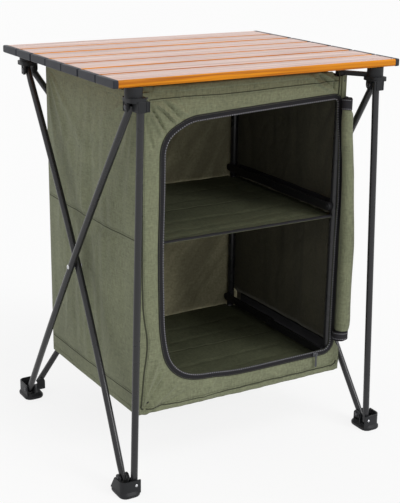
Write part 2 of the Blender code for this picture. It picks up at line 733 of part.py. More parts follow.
def make_legs():
    """Two upright front legs, riveted in the feet and clipped in the hubs."""
    rise = HUB_PIVOT_Z - FOOT_PIVOT_Z
    slope_x = (LEG_X_FOOT - LEG_X_TOP) / rise
    slope_y = (LEG_Y_FOOT - LEG_Y_TOP) / rise
    reach = LEG_SOCKET + EAR_THICKNESS
    for side_name, side in (("left", -1), ("right", 1)):
        points = []
        for height in (PLATE_BOTTOM_Z - 2 * TUBE_CLEARANCE, FOOT_PIVOT_Z - TUBE_OVERRUN):
            drop = HUB_PIVOT_Z - height
            points.append((side * (LEG_X_TOP + slope_x * drop), -(LEG_Y_TOP + slope_y * drop), height))
        hole = rivet_hole("y", side * LEG_X_FOOT, FOOT_PIVOT_Z, -LEG_Y_FOOT - reach, -LEG_Y_FOOT + reach)
        tube(f"leg_front_{side_name}", points, LEG_DIAMETER, f"front_{side_name}_leg", [hole])
        pin = rivet("y", LEG_X_FOOT, FOOT_PIVOT_Z, LEG_Y_FOOT - reach, LEG_Y_FOOT + reach)
        pin = mirrored(pin, side, -1)
        add_piece(f"rivet_leg_{side_name}", pin, f"front_{side_name}_foot", "rivet", smooth=True)


def make_posts():
    """Four posts that hang from the hubs' arms inside the cupboard's corners."""
    for side_name, side in (("left", -1), ("right", 1)):
        for end_name, post_y in (("front", -POST_FRONT_Y), ("rear", POST_REAR_Y)):
            foot_z = FLOOR_Z - BAR_ABOVE_CLOTH
            points = [(side * POST_X, post_y, POST_TOP_Z), (side * POST_X, post_y, foot_z)]
            tube(f"post_{end_name}_{side_name}", points, POST_DIAMETER, f"{end_name}_{side_name}_hub")


def bar_middle_z(cloth_z):
    """The height of a side bar's middle line above the cloth that it holds."""
    return cloth_z + BAR_ABOVE_CLOTH + BAR_HEIGHT / 2


def bar_plane_x(layer):
    """The middle of a half bar's thickness: layer 0 lies on the post, layer 1 on that."""
    return POST_X - POST_RADIUS - TOUCH_GAP - BAR_THICKNESS / 2 - layer * (BAR_THICKNESS + TOUCH_GAP)


def make_side_bars():
    """Folding side bars at shelf and floor height: two halves that lap and fold up at the middle."""
    half = BAR_HEIGHT / 2
    post_face = POST_X - POST_RADIUS - TOUCH_GAP
    for side_name, side in (("left", -1), ("right", 1)):
        for level_name, cloth_z in (("shelf", SHELF_Z), ("floor", FLOOR_Z)):
            bar_z = bar_middle_z(cloth_z)
            low_z = bar_z - half
            high_z = bar_z + half
            rear_outline = rounded((MIDDLE_Y - half, low_z), (POST_REAR_Y + half, high_z), [half] * 4)
            front_outline = rounded((-POST_FRONT_Y - half, low_z), (MIDDLE_Y + half, high_z), [half] * 4)
            rear_x = bar_plane_x(0)
            front_x = bar_plane_x(1)
            thick = BAR_THICKNESS / 2
            rear = [
                prism(rear_outline, rear_x - thick, rear_x + thick, "x"),
                rivet_head("x", POST_REAR_Y, bar_z, rear_x - thick, -1),
                rivet_head("x", MIDDLE_Y, bar_z, rear_x + thick, 1),
            ]
            front = [
                prism(front_outline, front_x - thick, front_x + thick, "x"),
                prism(circle(-POST_FRONT_Y, bar_z, POST_RADIUS), front_x, post_face, "x"),
                rivet_head("x", -POST_FRONT_Y, bar_z, front_x - thick, -1),
                rivet_head("x", MIDDLE_Y, bar_z, front_x - thick, -1),
            ]
            for end_name, solids in (("rear", rear), ("front", front)):
                mesh = mirrored(fused(solids), side, 1)
                name = f"{side_name}_{level_name}_bar_{end_name}"
                add_piece(f"bar_{side_name}_{level_name}_{end_name}", mesh, name, "side bar", smooth=True)


def make_slats():
    """Seven hollow slats with capped ends, hinged to each other at their top edges."""
    tube_half = TABLE_WIDTH / 2 - END_CAP_THICKNESS
    for index in range(SLAT_COUNT):
        middle_y = slat_y(index)
        low = (middle_y - SLAT_DEPTH / 2, TABLE_UNDERSIDE_Z + END_CAP_PROUD)
        high = (middle_y + SLAT_DEPTH / 2, TABLE_TOP_Z - END_CAP_PROUD)
        hollow_low = (low[0] + SLAT_WALL, low[1] + SLAT_WALL)
        hollow_high = (high[0] - SLAT_WALL, high[1] - SLAT_WALL)
        hollow = box_outline(hollow_low, hollow_high)
        slat = pierced(box_outline(low, high), hollow, -tube_half, tube_half, "x")
        last = index == SLAT_COUNT - 1
        cap_low = (low[0] - END_CAP_PROUD if last else fold_y(index + 1) + TOUCH_GAP / 2, TABLE_UNDERSIDE_Z)
        cap_high = (high[0] + END_CAP_PROUD if index == 0 else fold_y(index) - TOUCH_GAP / 2, TABLE_TOP_Z)
        cap = box_outline(cap_low, cap_high)
        cord_z = TABLE_TOP_Z - SLAT_THICKNESS / 2
        cord_hole = circle(middle_y, cord_z, CORD_HOLE_RADIUS, CORD_HOLE_SIDES)
        cap_inner = tube_half - END_CAP_LAP
        caps = [
            pierced(cap, cord_hole, cap_inner, TABLE_WIDTH / 2, "x"),
            pierced(cap, cord_hole, -TABLE_WIDTH / 2, -cap_inner, "x"),
        ]
        add_piece(f"table_slat_{index + 1}", fused([slat] + caps), f"slat_{index + 1}", "slat")


def cloth_swell(along, up, width, fold_start):
    """How far a wall stands out: a shallow belly with soft upright folds, none at the edges."""
    belly = math.sin(math.pi * along) * math.sin(math.pi * up)
    folds = along * width / WALL_FOLD_WIDTH + WALL_FOLD_LEAN * up
    fold = (1 + math.sin(2 * math.pi * folds + fold_start)) / 2
    return belly * (WALL_SWELL + WALL_FOLD_DEPTH * fold)


def cloth_wall(name, width, place, fold_start, body):
    """A wall of cloth: a grid with its folds, given a thickness."""
    columns = FOLD_COLUMNS * round(width / WALL_FOLD_WIDTH)
    height = CUPBOARD_TOP_Z - CUPBOARD_BOTTOM_Z
    shape = bmesh.new()
    grid = []
    for row in range(WALL_ROWS + 1):
        up = row / WALL_ROWS
        line = []
        for column in range(columns + 1):
            along = column / columns
            swell = cloth_swell(along, up, width, fold_start)
            line.append(shape.verts.new(place(along * width, CUPBOARD_BOTTOM_Z + up * height, swell)))
        grid.append(line)
    for lower, upper in zip(grid, grid[1:]):
        for column in range(columns):
            shape.faces.new((lower[column], lower[column + 1], upper[column + 1], upper[column]))
    mesh = bpy.data.meshes.new(name)
    shape.to_mesh(mesh)
    shape.free()
    piece = add_piece(name, mesh, body, "olive cloth", smooth=True)
    thickness = piece.modifiers.new("thickness", "SOLIDIFY")
    thickness.thickness = CLOTH_THICKNESS
    thickness.offset = 0.0
    return piece


def make_walls():
    """The cupboard's two sides and its back."""
    front_edge = FRONT_WALL_Y + CLOTH_THICKNESS / 2 + CLOTH_GAP
    side_width = BACK_WALL_Y - CLOTH_THICKNESS / 2 - CLOTH_GAP - front_edge
    back_width = 2 * PANEL_HALF_WIDTH

    def on_left(along, height, out):
        return (-WALL_X - out, front_edge + along, height)

    def on_right(along, height, out):
        return (WALL_X + out, front_edge + along, height)

    def on_back(along, height, out):
        return (along - PANEL_HALF_WIDTH, BACK_WALL_Y + out, height)

    cloth_wall("wall_left", side_width, on_left, LEFT_FOLD_START, "rear_left_hub")
    cloth_wall("wall_right", side_width, on_right, RIGHT_FOLD_START, "rear_right_hub")
    cloth_wall("wall_back", back_width, on_back, BACK_FOLD_START, "rear_left_hub")


def front_outline():
    """The front panel's outer edge, which rises in the middle, between the rings of the posts."""
    raised = POST_X - POST_RING_RADIUS - CLOTH_GAP
    right = [
        (PANEL_HALF_WIDTH, CUPBOARD_BOTTOM_Z),
        (PANEL_HALF_WIDTH, CUPBOARD_TOP_Z),
        (raised, CUPBOARD_TOP_Z),
        (raised, CUPBOARD_TOP_Z + FRONT_RISE),
    ]
    return right + [(-across, up) for across, up in reversed(right)]


def opening_outline(grow):
    """The front opening's outline, or one that lies a little outside it."""
    low = (
        -PANEL_HALF_WIDTH + OPENING_LEFT_BORDER - grow,
        CUPBOARD_BOTTOM_Z + OPENING_BOTTOM_BORDER - grow,
    )
    high = (
        PANEL_HALF_WIDTH - OPENING_RIGHT_BORDER + grow,
        CUPBOARD_TOP_Z - OPENING_TOP_BORDER + grow,
    )
    radii = [OPENING_RADIUS_BOTTOM, HINGE_RADIUS_BOTTOM, HINGE_RADIUS_TOP, OPENING_RADIUS_TOP]
    return rounded(low, high, [radius + grow for radius in radii], OPENING_STEPS)


def make_front():
    """The front panel with its opening, and the zip tape round that."""
    low = FRONT_WALL_Y - CLOTH_THICKNESS / 2
    high = FRONT_WALL_Y + CLOTH_THICKNESS / 2
    panel = pierced(front_outline(), opening_outline(0.0), low, high, "y")
    add_piece("front_panel", panel, "front_left_hub", "olive cloth")
    tape_outer = opening_outline(TAPE_WIDTH)
    tape = pierced(tape_outer, opening_outline(0.0), tape_front_y(), low - TOUCH_GAP, "y")
    add_piece("zip_tape", tape, "front_left_hub", "zip tape")


def tape_front_y():
    """The front face of the zip tape."""
    return FRONT_WALL_Y - CLOTH_THICKNESS / 2 - TOUCH_GAP - TAPE_THICKNESS


def slider_point():
    """The middle of the parked zip slider, on the tape's bottom run."""
    across = PANEL_HALF_WIDTH - OPENING_RIGHT_BORDER - SLIDER_FROM_RIGHT
    height = CUPBOARD_BOTTOM_Z + OPENING_BOTTOM_BORDER - TAPE_WIDTH / 2
    return (across, tape_front_y() - TOUCH_GAP - SLIDER_DEPTH / 2, height)


def pull_point():
    """The hinge of the pull tab, just in front of the slider."""
    across, middle_y, height = slider_point()
    return (across, middle_y - SLIDER_DEPTH / 2 - TOUCH_GAP - PULL_THICKNESS / 2, height)


def make_zip():
    """The zip slider and its pull tab, which hangs down in front of it."""
    across, middle_y, height = slider_point()
    low = middle_y - SLIDER_DEPTH / 2
    high = middle_y + SLIDER_DEPTH / 2
    outlines = []
    for bevel in (0.0, SLIDER_BEVEL):
        long = SLIDER_LENGTH / 2 - bevel
        wide = SLIDER_WIDTH / 2 - bevel
        corners = [SLIDER_CORNER - bevel] * 4
        outlines.append(rounded((across - long, height - wide), (across + long, height + wide), corners))
    body, crown = outlines
    slider = loft([(crown, low), (body, middle_y), (body, high)], "y")
    add_piece("zip_slider", slider, "zip_slider", "zip metal")
    hinge_y = pull_point()[1]
    thick = PULL_THICKNESS / 2
    tab_low = (across - PULL_WIDTH / 2, height - PULL_LENGTH)
    tab_high = (across + PULL_WIDTH / 2, height + PULL_EYE)
    tab = rounded(tab_low, tab_high, [PULL_CORNER, PULL_CORNER, PULL_EYE, PULL_EYE])
    add_piece("zip_pull", prism(tab, hinge_y - thick, hinge_y + thick, "y"), "zip_pull", "zip metal")


def notched(low_y, high_y, notch_front, notch_rear):
    """A sheet's outline between the walls, cut back at the posts' corners."""
    wide = WALL_X - CLOTH_THICKNESS / 2 - CLOTH_GAP
    narrow = POST_X - POST_RADIUS - POST_NOTCH_GAP
    rear_notch = POST_REAR_Y - POST_RADIUS - POST_NOTCH_GAP
    front_notch = -(POST_FRONT_Y - POST_RADIUS - POST_NOTCH_GAP)
    right = []
    if notch_front:
        right += [(narrow, low_y), (narrow, front_notch), (wide, front_notch)]
    else:
        right.append((wide, low_y))
    if notch_rear:
        right += [(wide, rear_notch), (narrow, rear_notch), (narrow, high_y)]
    else:
        right.append((wide, high_y))
    return right + [(-across, up) for across, up in reversed(right)]


def make_shelves():
    """The ceiling, and the shelf and the floor, each in two halves that fold with the side bars."""
    front_y = FRONT_WALL_Y + CLOTH_THICKNESS / 2 + CLOTH_GAP
    back_y = BACK_WALL_Y - CLOTH_THICKNESS / 2 - CLOTH_GAP
    ceiling_z = CUPBOARD_TOP_Z - CEILING_DROP
    ceiling = prism(notched(front_y, back_y, True, True), ceiling_z - CLOTH_THICKNESS, ceiling_z)
    add_piece("ceiling", ceiling, "rear_left_hub", "inner cloth")
    for level_name, top_z in (("shelf", SHELF_Z), ("floor", FLOOR_Z)):
        rear = notched(MIDDLE_Y + TOUCH_GAP / 2, back_y, False, True)
        front = notched(front_y, MIDDLE_Y - TOUCH_GAP / 2, True, False)
        for end_name, outline in (("rear", rear), ("front", front)):
            sheet = prism(outline, top_z - CLOTH_THICKNESS, top_z)
            add_piece(f"{level_name}_{end_name}", sheet, f"left_{level_name}_bar_{end_name}", "inner cloth")


def make_door():
    """The door, rolled up to the right of the opening and held by two ties."""
    middle_x = POST_X + ROLL_BEYOND_POST
    middle_y = tape_front_y() - CLOTH_GAP - TIE_THICKNESS - TOUCH_GAP - ROLL_RADIUS - ROLL_WAVE
    bottom_z = CUPBOARD_BOTTOM_Z + ROLL_FROM_BOTTOM
    top_z = CUPBOARD_TOP_Z - ROLL_FROM_TOP
    curve = bpy.data.curves.new("door_roll", "CURVE")
    curve.dimensions = "3D"
    curve.bevel_depth = ROLL_RADIUS
    curve.bevel_resolution = TUBE_BEVEL_RESOLUTION
    curve.use_fill_caps = True
    spline = curve.splines.new("POLY")
    spline.points.add(ROLL_STEPS)
    for step, point in enumerate(spline.points):
        height = bottom_z + (top_z - bottom_z) * step / ROLL_STEPS
        wave = ROLL_WAVE * math.sin(2 * math.pi * (height - bottom_z) / ROLL_WAVE_LENGTH)
        point.co = (middle_x + wave, middle_y, height, 1.0)
    add_piece("door_roll", curve, "front_right_hub", "olive cloth")
    inner = ROLL_RADIUS + ROLL_WAVE + TOUCH_GAP
    lower = bottom_z + TIE_FROM_END
    upper = top_z - TIE_FROM_END - TIE_HEIGHT
    for place, low in (("bottom", lower), ("top", upper)):
        outer_ring = circle(middle_x, middle_y, inner + TIE_THICKNESS)
        tie = pierced(outer_ring, circle(middle_x, middle_y, inner), low, low + TIE_HEIGHT, "z")
        add_piece(f"door_tie_{place}", tie, "front_right_hub", "zip tape", smooth=True)


def make_corner_tabs():
    """Tabs on the front panel's top corners, hooked up to the undersides of the hubs' arms."""
    back_y = FRONT_WALL_Y - CLOTH_THICKNESS / 2 - TOUCH_GAP
    top_z = ARM_BOTTOM_Z - TOUCH_GAP
    low = (POST_X - TAB_WIDTH / 2, top_z - TAB_HEIGHT)
    high = (POST_X + TAB_WIDTH / 2, top_z)
    outline = rounded(low, high, [TAB_CORNER] * 4)
    for side_name, side in (("left", -1), ("right", 1)):
        tab = mirrored(prism(outline, back_y - TAB_THICKNESS, back_y, "y"), side, 1)
        add_piece(f"corner_tab_{side_name}", tab, f"front_{side_name}_hub", "black plastic")


def main():
    """Clear the scene and build every piece."""
    for old in list(bpy.data.objects):
        bpy.data.objects.remove(old)
    make_bodies()
    make_hubs()
    make_feet()
    make_braces()
    make_legs()
    make_posts()
    make_side_bars()
    make_slats()
    make_walls()
    make_front()
    make_zip()
    make_shelves()
    make_door()
    make_corner_tabs()


main()
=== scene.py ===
"""Folding camping cupboard: the finished model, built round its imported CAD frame.

Tubes, corner fittings, the slatted top, the fabric cupboard with its zip and its rolled door. Metres, the
CAD's own frame. The file is laid out as a Blender add-on and is run as a script.
"""
import json
import math
from collections import namedtuple
from functools import partial

import bmesh
import bpy
from bpy.props import FloatProperty, FloatVectorProperty, IntProperty, PointerProperty
from mathutils import Matrix, Vector, noise
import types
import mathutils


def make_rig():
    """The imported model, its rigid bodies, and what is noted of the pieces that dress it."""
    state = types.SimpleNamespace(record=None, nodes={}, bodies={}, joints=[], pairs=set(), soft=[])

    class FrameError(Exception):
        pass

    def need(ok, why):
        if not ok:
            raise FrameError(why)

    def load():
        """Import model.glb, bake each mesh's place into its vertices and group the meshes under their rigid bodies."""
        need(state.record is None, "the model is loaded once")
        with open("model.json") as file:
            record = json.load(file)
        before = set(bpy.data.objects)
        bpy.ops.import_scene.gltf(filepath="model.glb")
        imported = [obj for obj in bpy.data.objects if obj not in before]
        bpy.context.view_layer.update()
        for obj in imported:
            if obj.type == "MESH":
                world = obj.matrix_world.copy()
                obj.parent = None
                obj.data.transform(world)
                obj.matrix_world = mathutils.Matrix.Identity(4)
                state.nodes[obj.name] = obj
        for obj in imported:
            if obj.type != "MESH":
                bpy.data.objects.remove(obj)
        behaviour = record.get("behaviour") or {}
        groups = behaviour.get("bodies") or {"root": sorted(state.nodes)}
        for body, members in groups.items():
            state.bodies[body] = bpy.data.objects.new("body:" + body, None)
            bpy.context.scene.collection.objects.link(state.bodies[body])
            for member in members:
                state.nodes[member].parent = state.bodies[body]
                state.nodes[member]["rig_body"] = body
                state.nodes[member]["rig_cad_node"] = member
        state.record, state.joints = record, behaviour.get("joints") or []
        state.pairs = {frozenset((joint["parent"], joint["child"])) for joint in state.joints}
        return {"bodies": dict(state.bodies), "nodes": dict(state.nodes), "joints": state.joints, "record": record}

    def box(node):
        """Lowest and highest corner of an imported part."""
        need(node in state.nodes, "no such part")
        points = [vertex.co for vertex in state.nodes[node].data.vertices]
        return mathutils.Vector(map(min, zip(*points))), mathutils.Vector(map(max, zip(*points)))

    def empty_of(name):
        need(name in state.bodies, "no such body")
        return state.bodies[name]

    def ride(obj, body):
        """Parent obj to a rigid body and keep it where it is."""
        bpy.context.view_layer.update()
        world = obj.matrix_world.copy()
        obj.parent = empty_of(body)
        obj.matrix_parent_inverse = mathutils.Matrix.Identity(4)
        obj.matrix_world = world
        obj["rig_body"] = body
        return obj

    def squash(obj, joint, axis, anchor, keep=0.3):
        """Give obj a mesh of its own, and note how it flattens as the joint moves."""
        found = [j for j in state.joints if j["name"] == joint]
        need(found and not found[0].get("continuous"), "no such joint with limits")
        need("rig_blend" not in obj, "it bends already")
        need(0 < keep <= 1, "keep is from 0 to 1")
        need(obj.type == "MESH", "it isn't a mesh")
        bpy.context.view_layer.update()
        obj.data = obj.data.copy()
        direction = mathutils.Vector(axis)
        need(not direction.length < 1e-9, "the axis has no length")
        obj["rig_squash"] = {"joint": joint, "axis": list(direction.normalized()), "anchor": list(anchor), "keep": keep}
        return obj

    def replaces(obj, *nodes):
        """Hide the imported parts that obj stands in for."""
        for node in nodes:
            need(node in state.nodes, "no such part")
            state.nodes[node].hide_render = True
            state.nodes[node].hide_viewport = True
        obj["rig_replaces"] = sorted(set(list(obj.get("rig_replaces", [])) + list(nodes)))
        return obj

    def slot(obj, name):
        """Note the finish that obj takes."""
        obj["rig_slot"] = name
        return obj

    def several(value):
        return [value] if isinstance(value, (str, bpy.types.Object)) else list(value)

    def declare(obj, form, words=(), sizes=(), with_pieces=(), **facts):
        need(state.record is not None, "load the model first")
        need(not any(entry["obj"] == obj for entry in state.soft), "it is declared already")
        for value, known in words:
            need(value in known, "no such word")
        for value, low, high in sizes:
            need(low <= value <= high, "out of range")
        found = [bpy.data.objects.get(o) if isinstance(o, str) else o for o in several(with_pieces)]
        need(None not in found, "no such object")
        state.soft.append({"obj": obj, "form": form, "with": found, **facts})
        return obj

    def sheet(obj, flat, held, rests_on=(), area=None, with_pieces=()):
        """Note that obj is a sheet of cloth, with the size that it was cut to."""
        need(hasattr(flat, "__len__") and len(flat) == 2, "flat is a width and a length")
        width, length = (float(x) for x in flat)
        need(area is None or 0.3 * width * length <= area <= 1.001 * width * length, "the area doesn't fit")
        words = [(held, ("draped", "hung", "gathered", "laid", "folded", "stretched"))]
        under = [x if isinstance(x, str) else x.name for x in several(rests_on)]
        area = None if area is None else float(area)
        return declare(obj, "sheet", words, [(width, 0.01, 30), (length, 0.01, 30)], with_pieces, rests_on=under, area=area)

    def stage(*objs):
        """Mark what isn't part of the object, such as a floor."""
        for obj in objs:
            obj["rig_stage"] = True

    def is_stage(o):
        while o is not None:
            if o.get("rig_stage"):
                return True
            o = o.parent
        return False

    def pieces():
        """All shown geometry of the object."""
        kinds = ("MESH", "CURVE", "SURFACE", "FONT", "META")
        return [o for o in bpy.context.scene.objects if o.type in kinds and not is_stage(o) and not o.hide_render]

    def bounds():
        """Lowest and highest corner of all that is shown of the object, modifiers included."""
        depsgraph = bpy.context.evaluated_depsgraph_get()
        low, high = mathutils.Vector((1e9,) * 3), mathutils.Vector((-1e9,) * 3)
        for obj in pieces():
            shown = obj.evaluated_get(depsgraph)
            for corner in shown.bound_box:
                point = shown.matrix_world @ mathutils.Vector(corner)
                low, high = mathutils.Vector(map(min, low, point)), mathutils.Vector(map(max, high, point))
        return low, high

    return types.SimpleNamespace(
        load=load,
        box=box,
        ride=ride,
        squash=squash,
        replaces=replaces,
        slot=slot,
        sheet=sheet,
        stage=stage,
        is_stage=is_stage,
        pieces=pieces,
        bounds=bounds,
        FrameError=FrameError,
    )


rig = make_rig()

bl_info = {
    "name": "Folding camping cupboard",
    "version": (1, 0, 0),
    "blender": (4, 5, 0),
    "location": "3D View > Sidebar > Cupboard",
    "description": "Builds the finished cupboard round its CAD frame",
    "category": "Object",
}

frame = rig.load()
CAD_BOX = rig.bounds()

# The camera that matches the photograph, and the size of its picture
PHOTO_WIDTH = 400
PHOTO_HEIGHT = 503
CAMERA_PLACE = Vector((-1.1039, -1.8631, 1.0512))
CAMERA_AZIMUTH = math.radians(-30.98)
CAMERA_ELEVATION = math.radians(17.81)
CAMERA_ROLL = math.radians(0.85)
FOCAL_PIXELS = 1115.9
SENSOR_MM = 36.0

# Places that the CAD fixes
HUB_PIVOT_Z = 0.711
FOOT_PIVOT_Z = 0.022
SIDE_X_TOP = 0.2575
SIDE_X_FOOT = 0.2775
SIDE_Y = 0.222
BACK_X = 0.2425
BACK_Y_TOP = 0.2395
BACK_Y_FOOT = 0.252
LEG_X_TOP = 0.249
LEG_X_FOOT = 0.269
LEG_Y_TOP = 0.241
LEG_Y_FOOT = 0.2505
LEG_TOP_Z = 0.7187
POST_X = 0.2165
POST_REAR_Y = 0.195
POST_FRONT_Y = 0.175
POST_TOP_Z = 0.7259
POST_FOOT_Z = 0.128
TABLE_TOP_Z = 0.760
TABLE_UNDERSIDE_Z = 0.746
TABLE_HALF_WIDTH = 0.300
SLAT_COUNT = 7
SLAT_FIRST_Y = 0.2102
SLAT_PITCH = 0.0701
CAP_PROUD = 0.0003
FRONT_FACE_Y = -0.1850
WALL_FACE_X = 0.2265
BACK_FACE_Y = 0.2050
WALL_FRONT_Y = -0.1829
WALL_REAR_Y = 0.2032
SHELF_Z = 0.448
FLOOR_Z = 0.140
CEILING_Z = 0.7215
CLOTH_TOP_Z = 0.7245
CLOTH_TOP_RISE = 0.0105
OPENING_LOW = (-0.1705, 0.1675)
OPENING_HIGH = (0.2140, 0.6740)
OPENING_RADII = (0.098, 0.016, 0.008, 0.066)
TAPE_REACH = 0.012

# Where the shelf, the floor and the ceiling end, where halves meet, and where they are cut round the posts
LEVEL_HALF_WIDTH = 0.2243
REAR_HALF_Y = 0.0102
FRONT_HALF_Y = 0.0098
POST_CUT_X = 0.2070
POST_CUTS_Y = (-(POST_FRONT_Y - 0.0095), POST_REAR_Y - 0.0095)

# How far an ear's outer face stands outside its tube, and how far a tube's pressed end reaches
EAR_REACH = 0.0035
FLAT_REACH = 0.034
# The polyester's threads are about 0.6 mm apart, and are drawn at 1.3 mm, so that they show
THREAD_MM = 1.3

# Folding: what crumples along the depth and what along the width
CRUMPLE_DEPTH = {"axis": (0, 1, 0), "anchor": (0, BACK_FACE_Y, 0), "keep": 0.18}
CRUMPLE_WIDTH = {"axis": (1, 0, 0), "anchor": (-WALL_FACE_X, 0, 0), "keep": 0.44}
SIDES = (("left", -1), ("right", 1))
ENDS = (("front", -1), ("rear", 1))
CORNERS = [(f"{end_name}_{side_name}", side, end) for side_name, side in SIDES for end_name, end in ENDS]
FORWARDS = Vector((0, -1, 0))

# Kinds of node that come up often
MATH = "ShaderNodeMath"
NOISE = "ShaderNodeTexNoise"
RANGE = "ShaderNodeMapRange"
MAPPING = "ShaderNodeMapping"
MIX = "ShaderNodeMix"

finishes = {}
trees = {}


# Colours, nodes and finishes
def linear(hex_colour):
    """A colour written as sRGB hex, in the linear values that shaders take."""
    values = []
    for start in (0, 2, 4):
        level = int(hex_colour[start:start + 2], 16) / 255
        values.append(level / 12.92 if level <= 0.04045 else ((level + 0.055) / 1.055) ** 2.4)
    return (*values, 1.0)


WHITE = linear("FFFFFF")
PALE_GREY = linear("F7F7F7")


def feed(node, inputs):
    """Set a node's inputs, each to a value or to the node or output that feeds it."""
    for key, value in inputs.items():
        if isinstance(value, bpy.types.Node):
            value = value.outputs[0]
        if isinstance(value, bpy.types.NodeSocket):
            node.id_data.links.new(value, node.inputs[key])
        else:
            node.inputs[key].default_value = value


def add_node(tree, kind, inputs=None, **settings):
    """Add a node with its settings and links."""
    node = tree.nodes.new(kind)
    for key, value in settings.items():
        setattr(node, key, value)
    feed(node, inputs or {})
    return node


def shade(colour, factor):
    """A colour made darker or lighter, still linear."""
    return (colour[0] * factor, colour[1] * factor, colour[2] * factor, 1.0)


def pair(colour, dark, light):
    """Two shades of one colour."""
    return shade(colour, dark), shade(colour, light)


def start_finish(name, roughness, **sockets):
    """A new material's shader, with its uniform values on its own sockets, and add_node for its tree."""
    material = bpy.data.materials.new(name)
    material.use_nodes = True
    finishes[name] = material
    shader = material.node_tree.nodes["Principled BSDF"]
    feed(shader, {"Roughness": roughness, **{key.replace("_", " "): value for key, value in sockets.items()}})
    return shader, partial(add_node, material.node_tree)


def end_finish(shader, add, share, colours, height, depth, strength=1.0):
    """Colour a shader between two colours by a share, and give it a relief of a depth in metres."""
    mix = add(MIX, {0: share, 6: colours[0], 7: colours[1]}, data_type="RGBA")
    relief = add("ShaderNodeBump", {"Height": height, "Distance": depth, "Strength": strength})
    feed(shader, {"Base Color": mix.outputs[2], "Normal": relief})


def grainy_finish(name, colours, grain_mm, depth_mm, roughness, spread, stretch=(1, 1, 1), **sockets):
    """A solid material whose grain comes from one stretched noise in Object coordinates."""
    shader, add = start_finish(name, roughness, **sockets)
    place = add("ShaderNodeTexCoord").outputs["Object"]
    mapped = add(MAPPING, {"Vector": place, "Scale": Vector(stretch)})
    grain = add(NOISE, {"Vector": mapped, "Scale": 1000.0 / grain_mm, "Detail": 3.0})
    cloudy = add(NOISE, {"Vector": place, "Scale": 28.0, "Detail": 4.0})
    share = add(MATH, {0: cloudy, 1: 0.45}, operation="MULTIPLY")
    share = add(MATH, {0: grain, 1: 0.55, 2: share}, operation="MULTIPLY_ADD")
    end_finish(shader, add, share, colours, grain, depth_mm / 1000.0)
    feed(shader, {"Roughness": add(RANGE, {0: cloudy, 3: roughness - spread, 4: roughness + spread})})


def woven_finish(name, colours, depth_mm, roughness, heather, **sockets):
    """A plain weave on the piece's own UV map in metres: crossing threads, streaky yarn and slow mottling."""
    shader, add = start_finish(name, roughness, **sockets)
    flat = add("ShaderNodeUVMap", uv_map="cloth")
    parts = add("ShaderNodeSeparateXYZ", {0: flat}).outputs
    waves = []
    for part in (parts[0], parts[1]):
        angle = add(MATH, {0: part, 1: math.pi * 1000.0 / THREAD_MM}, operation="MULTIPLY")
        waves.append(add(MATH, {0: angle}, operation="SINE"))
    cell = add(MATH, {0: waves[0], 1: waves[1]}, operation="MULTIPLY")
    yarn = 1000.0 / THREAD_MM
    streaks = []
    for stretch in ((yarn, yarn / 16, 1.0), (yarn / 16, yarn, 1.0)):
        mapped = add(MAPPING, {"Vector": flat, "Scale": Vector(stretch)})
        streaks.append(add(NOISE, {"Vector": mapped, "Scale": 1.0}))
    over = add(MATH, {0: cell, 1: 0.5, 2: 0.5}, operation="MULTIPLY_ADD")
    streak = add(MIX, {0: over, 2: streaks[0], 3: streaks[1]})
    # Patches of about 60 mm, and knots of about 5 mm, where the yarn is thicker.
    patches = add(NOISE, {"Vector": flat, "Scale": 16.0, "Detail": 5.0})
    knots = add(NOISE, {"Vector": flat, "Scale": 190.0, "Detail": 3.0})
    mottle = add(MATH, {0: patches, 1: 0.4}, operation="MULTIPLY")
    mottle = add(MATH, {0: knots, 1: 0.6, 2: mottle}, operation="MULTIPLY_ADD")
    mottle = add(MATH, {0: mottle, 1: 1.0 - heather}, operation="MULTIPLY")
    share = add(MATH, {0: streak, 1: heather, 2: mottle}, operation="MULTIPLY_ADD")
    share = add(RANGE, {0: share, 1: 0.30, 2: 0.70})
    share = add(MATH, {0: cell, 1: 0.10, 2: share}, operation="MULTIPLY_ADD")
    height = add(MATH, {0: streak, 1: knots}, operation="ADD")
    height = add(MATH, {0: cell, 1: 0.6, 2: height}, operation="MULTIPLY_ADD")
    end_finish(shader, add, share, colours, height, depth_mm / 1000.0, 0.7)


def ribbed_finish(name, colours, rib_mm, depth_mm, roughness, **sockets):
    """A narrow woven tape: ribs across its length, on the piece's own UV map in metres."""
    shader, add = start_finish(name, roughness, **sockets)
    flat = add("ShaderNodeUVMap", uv_map="cloth")
    length = add("ShaderNodeSeparateXYZ", {0: flat}).outputs[0]
    angle = add(MATH, {0: length, 1: 2.0 * math.pi * 1000.0 / rib_mm}, operation="MULTIPLY")
    rib = add(MATH, {0: angle}, operation="SINE")
    fuzz = add(NOISE, {"Vector": flat, "Scale": 900.0, "Detail": 2.0})
    share = add(MATH, {0: rib, 1: 0.28, 2: fuzz}, operation="MULTIPLY_ADD")
    height = add(MATH, {0: rib, 1: 0.5, 2: fuzz}, operation="MULTIPLY_ADD")
    end_finish(shader, add, share, colours, height, depth_mm / 1000.0, 0.7)


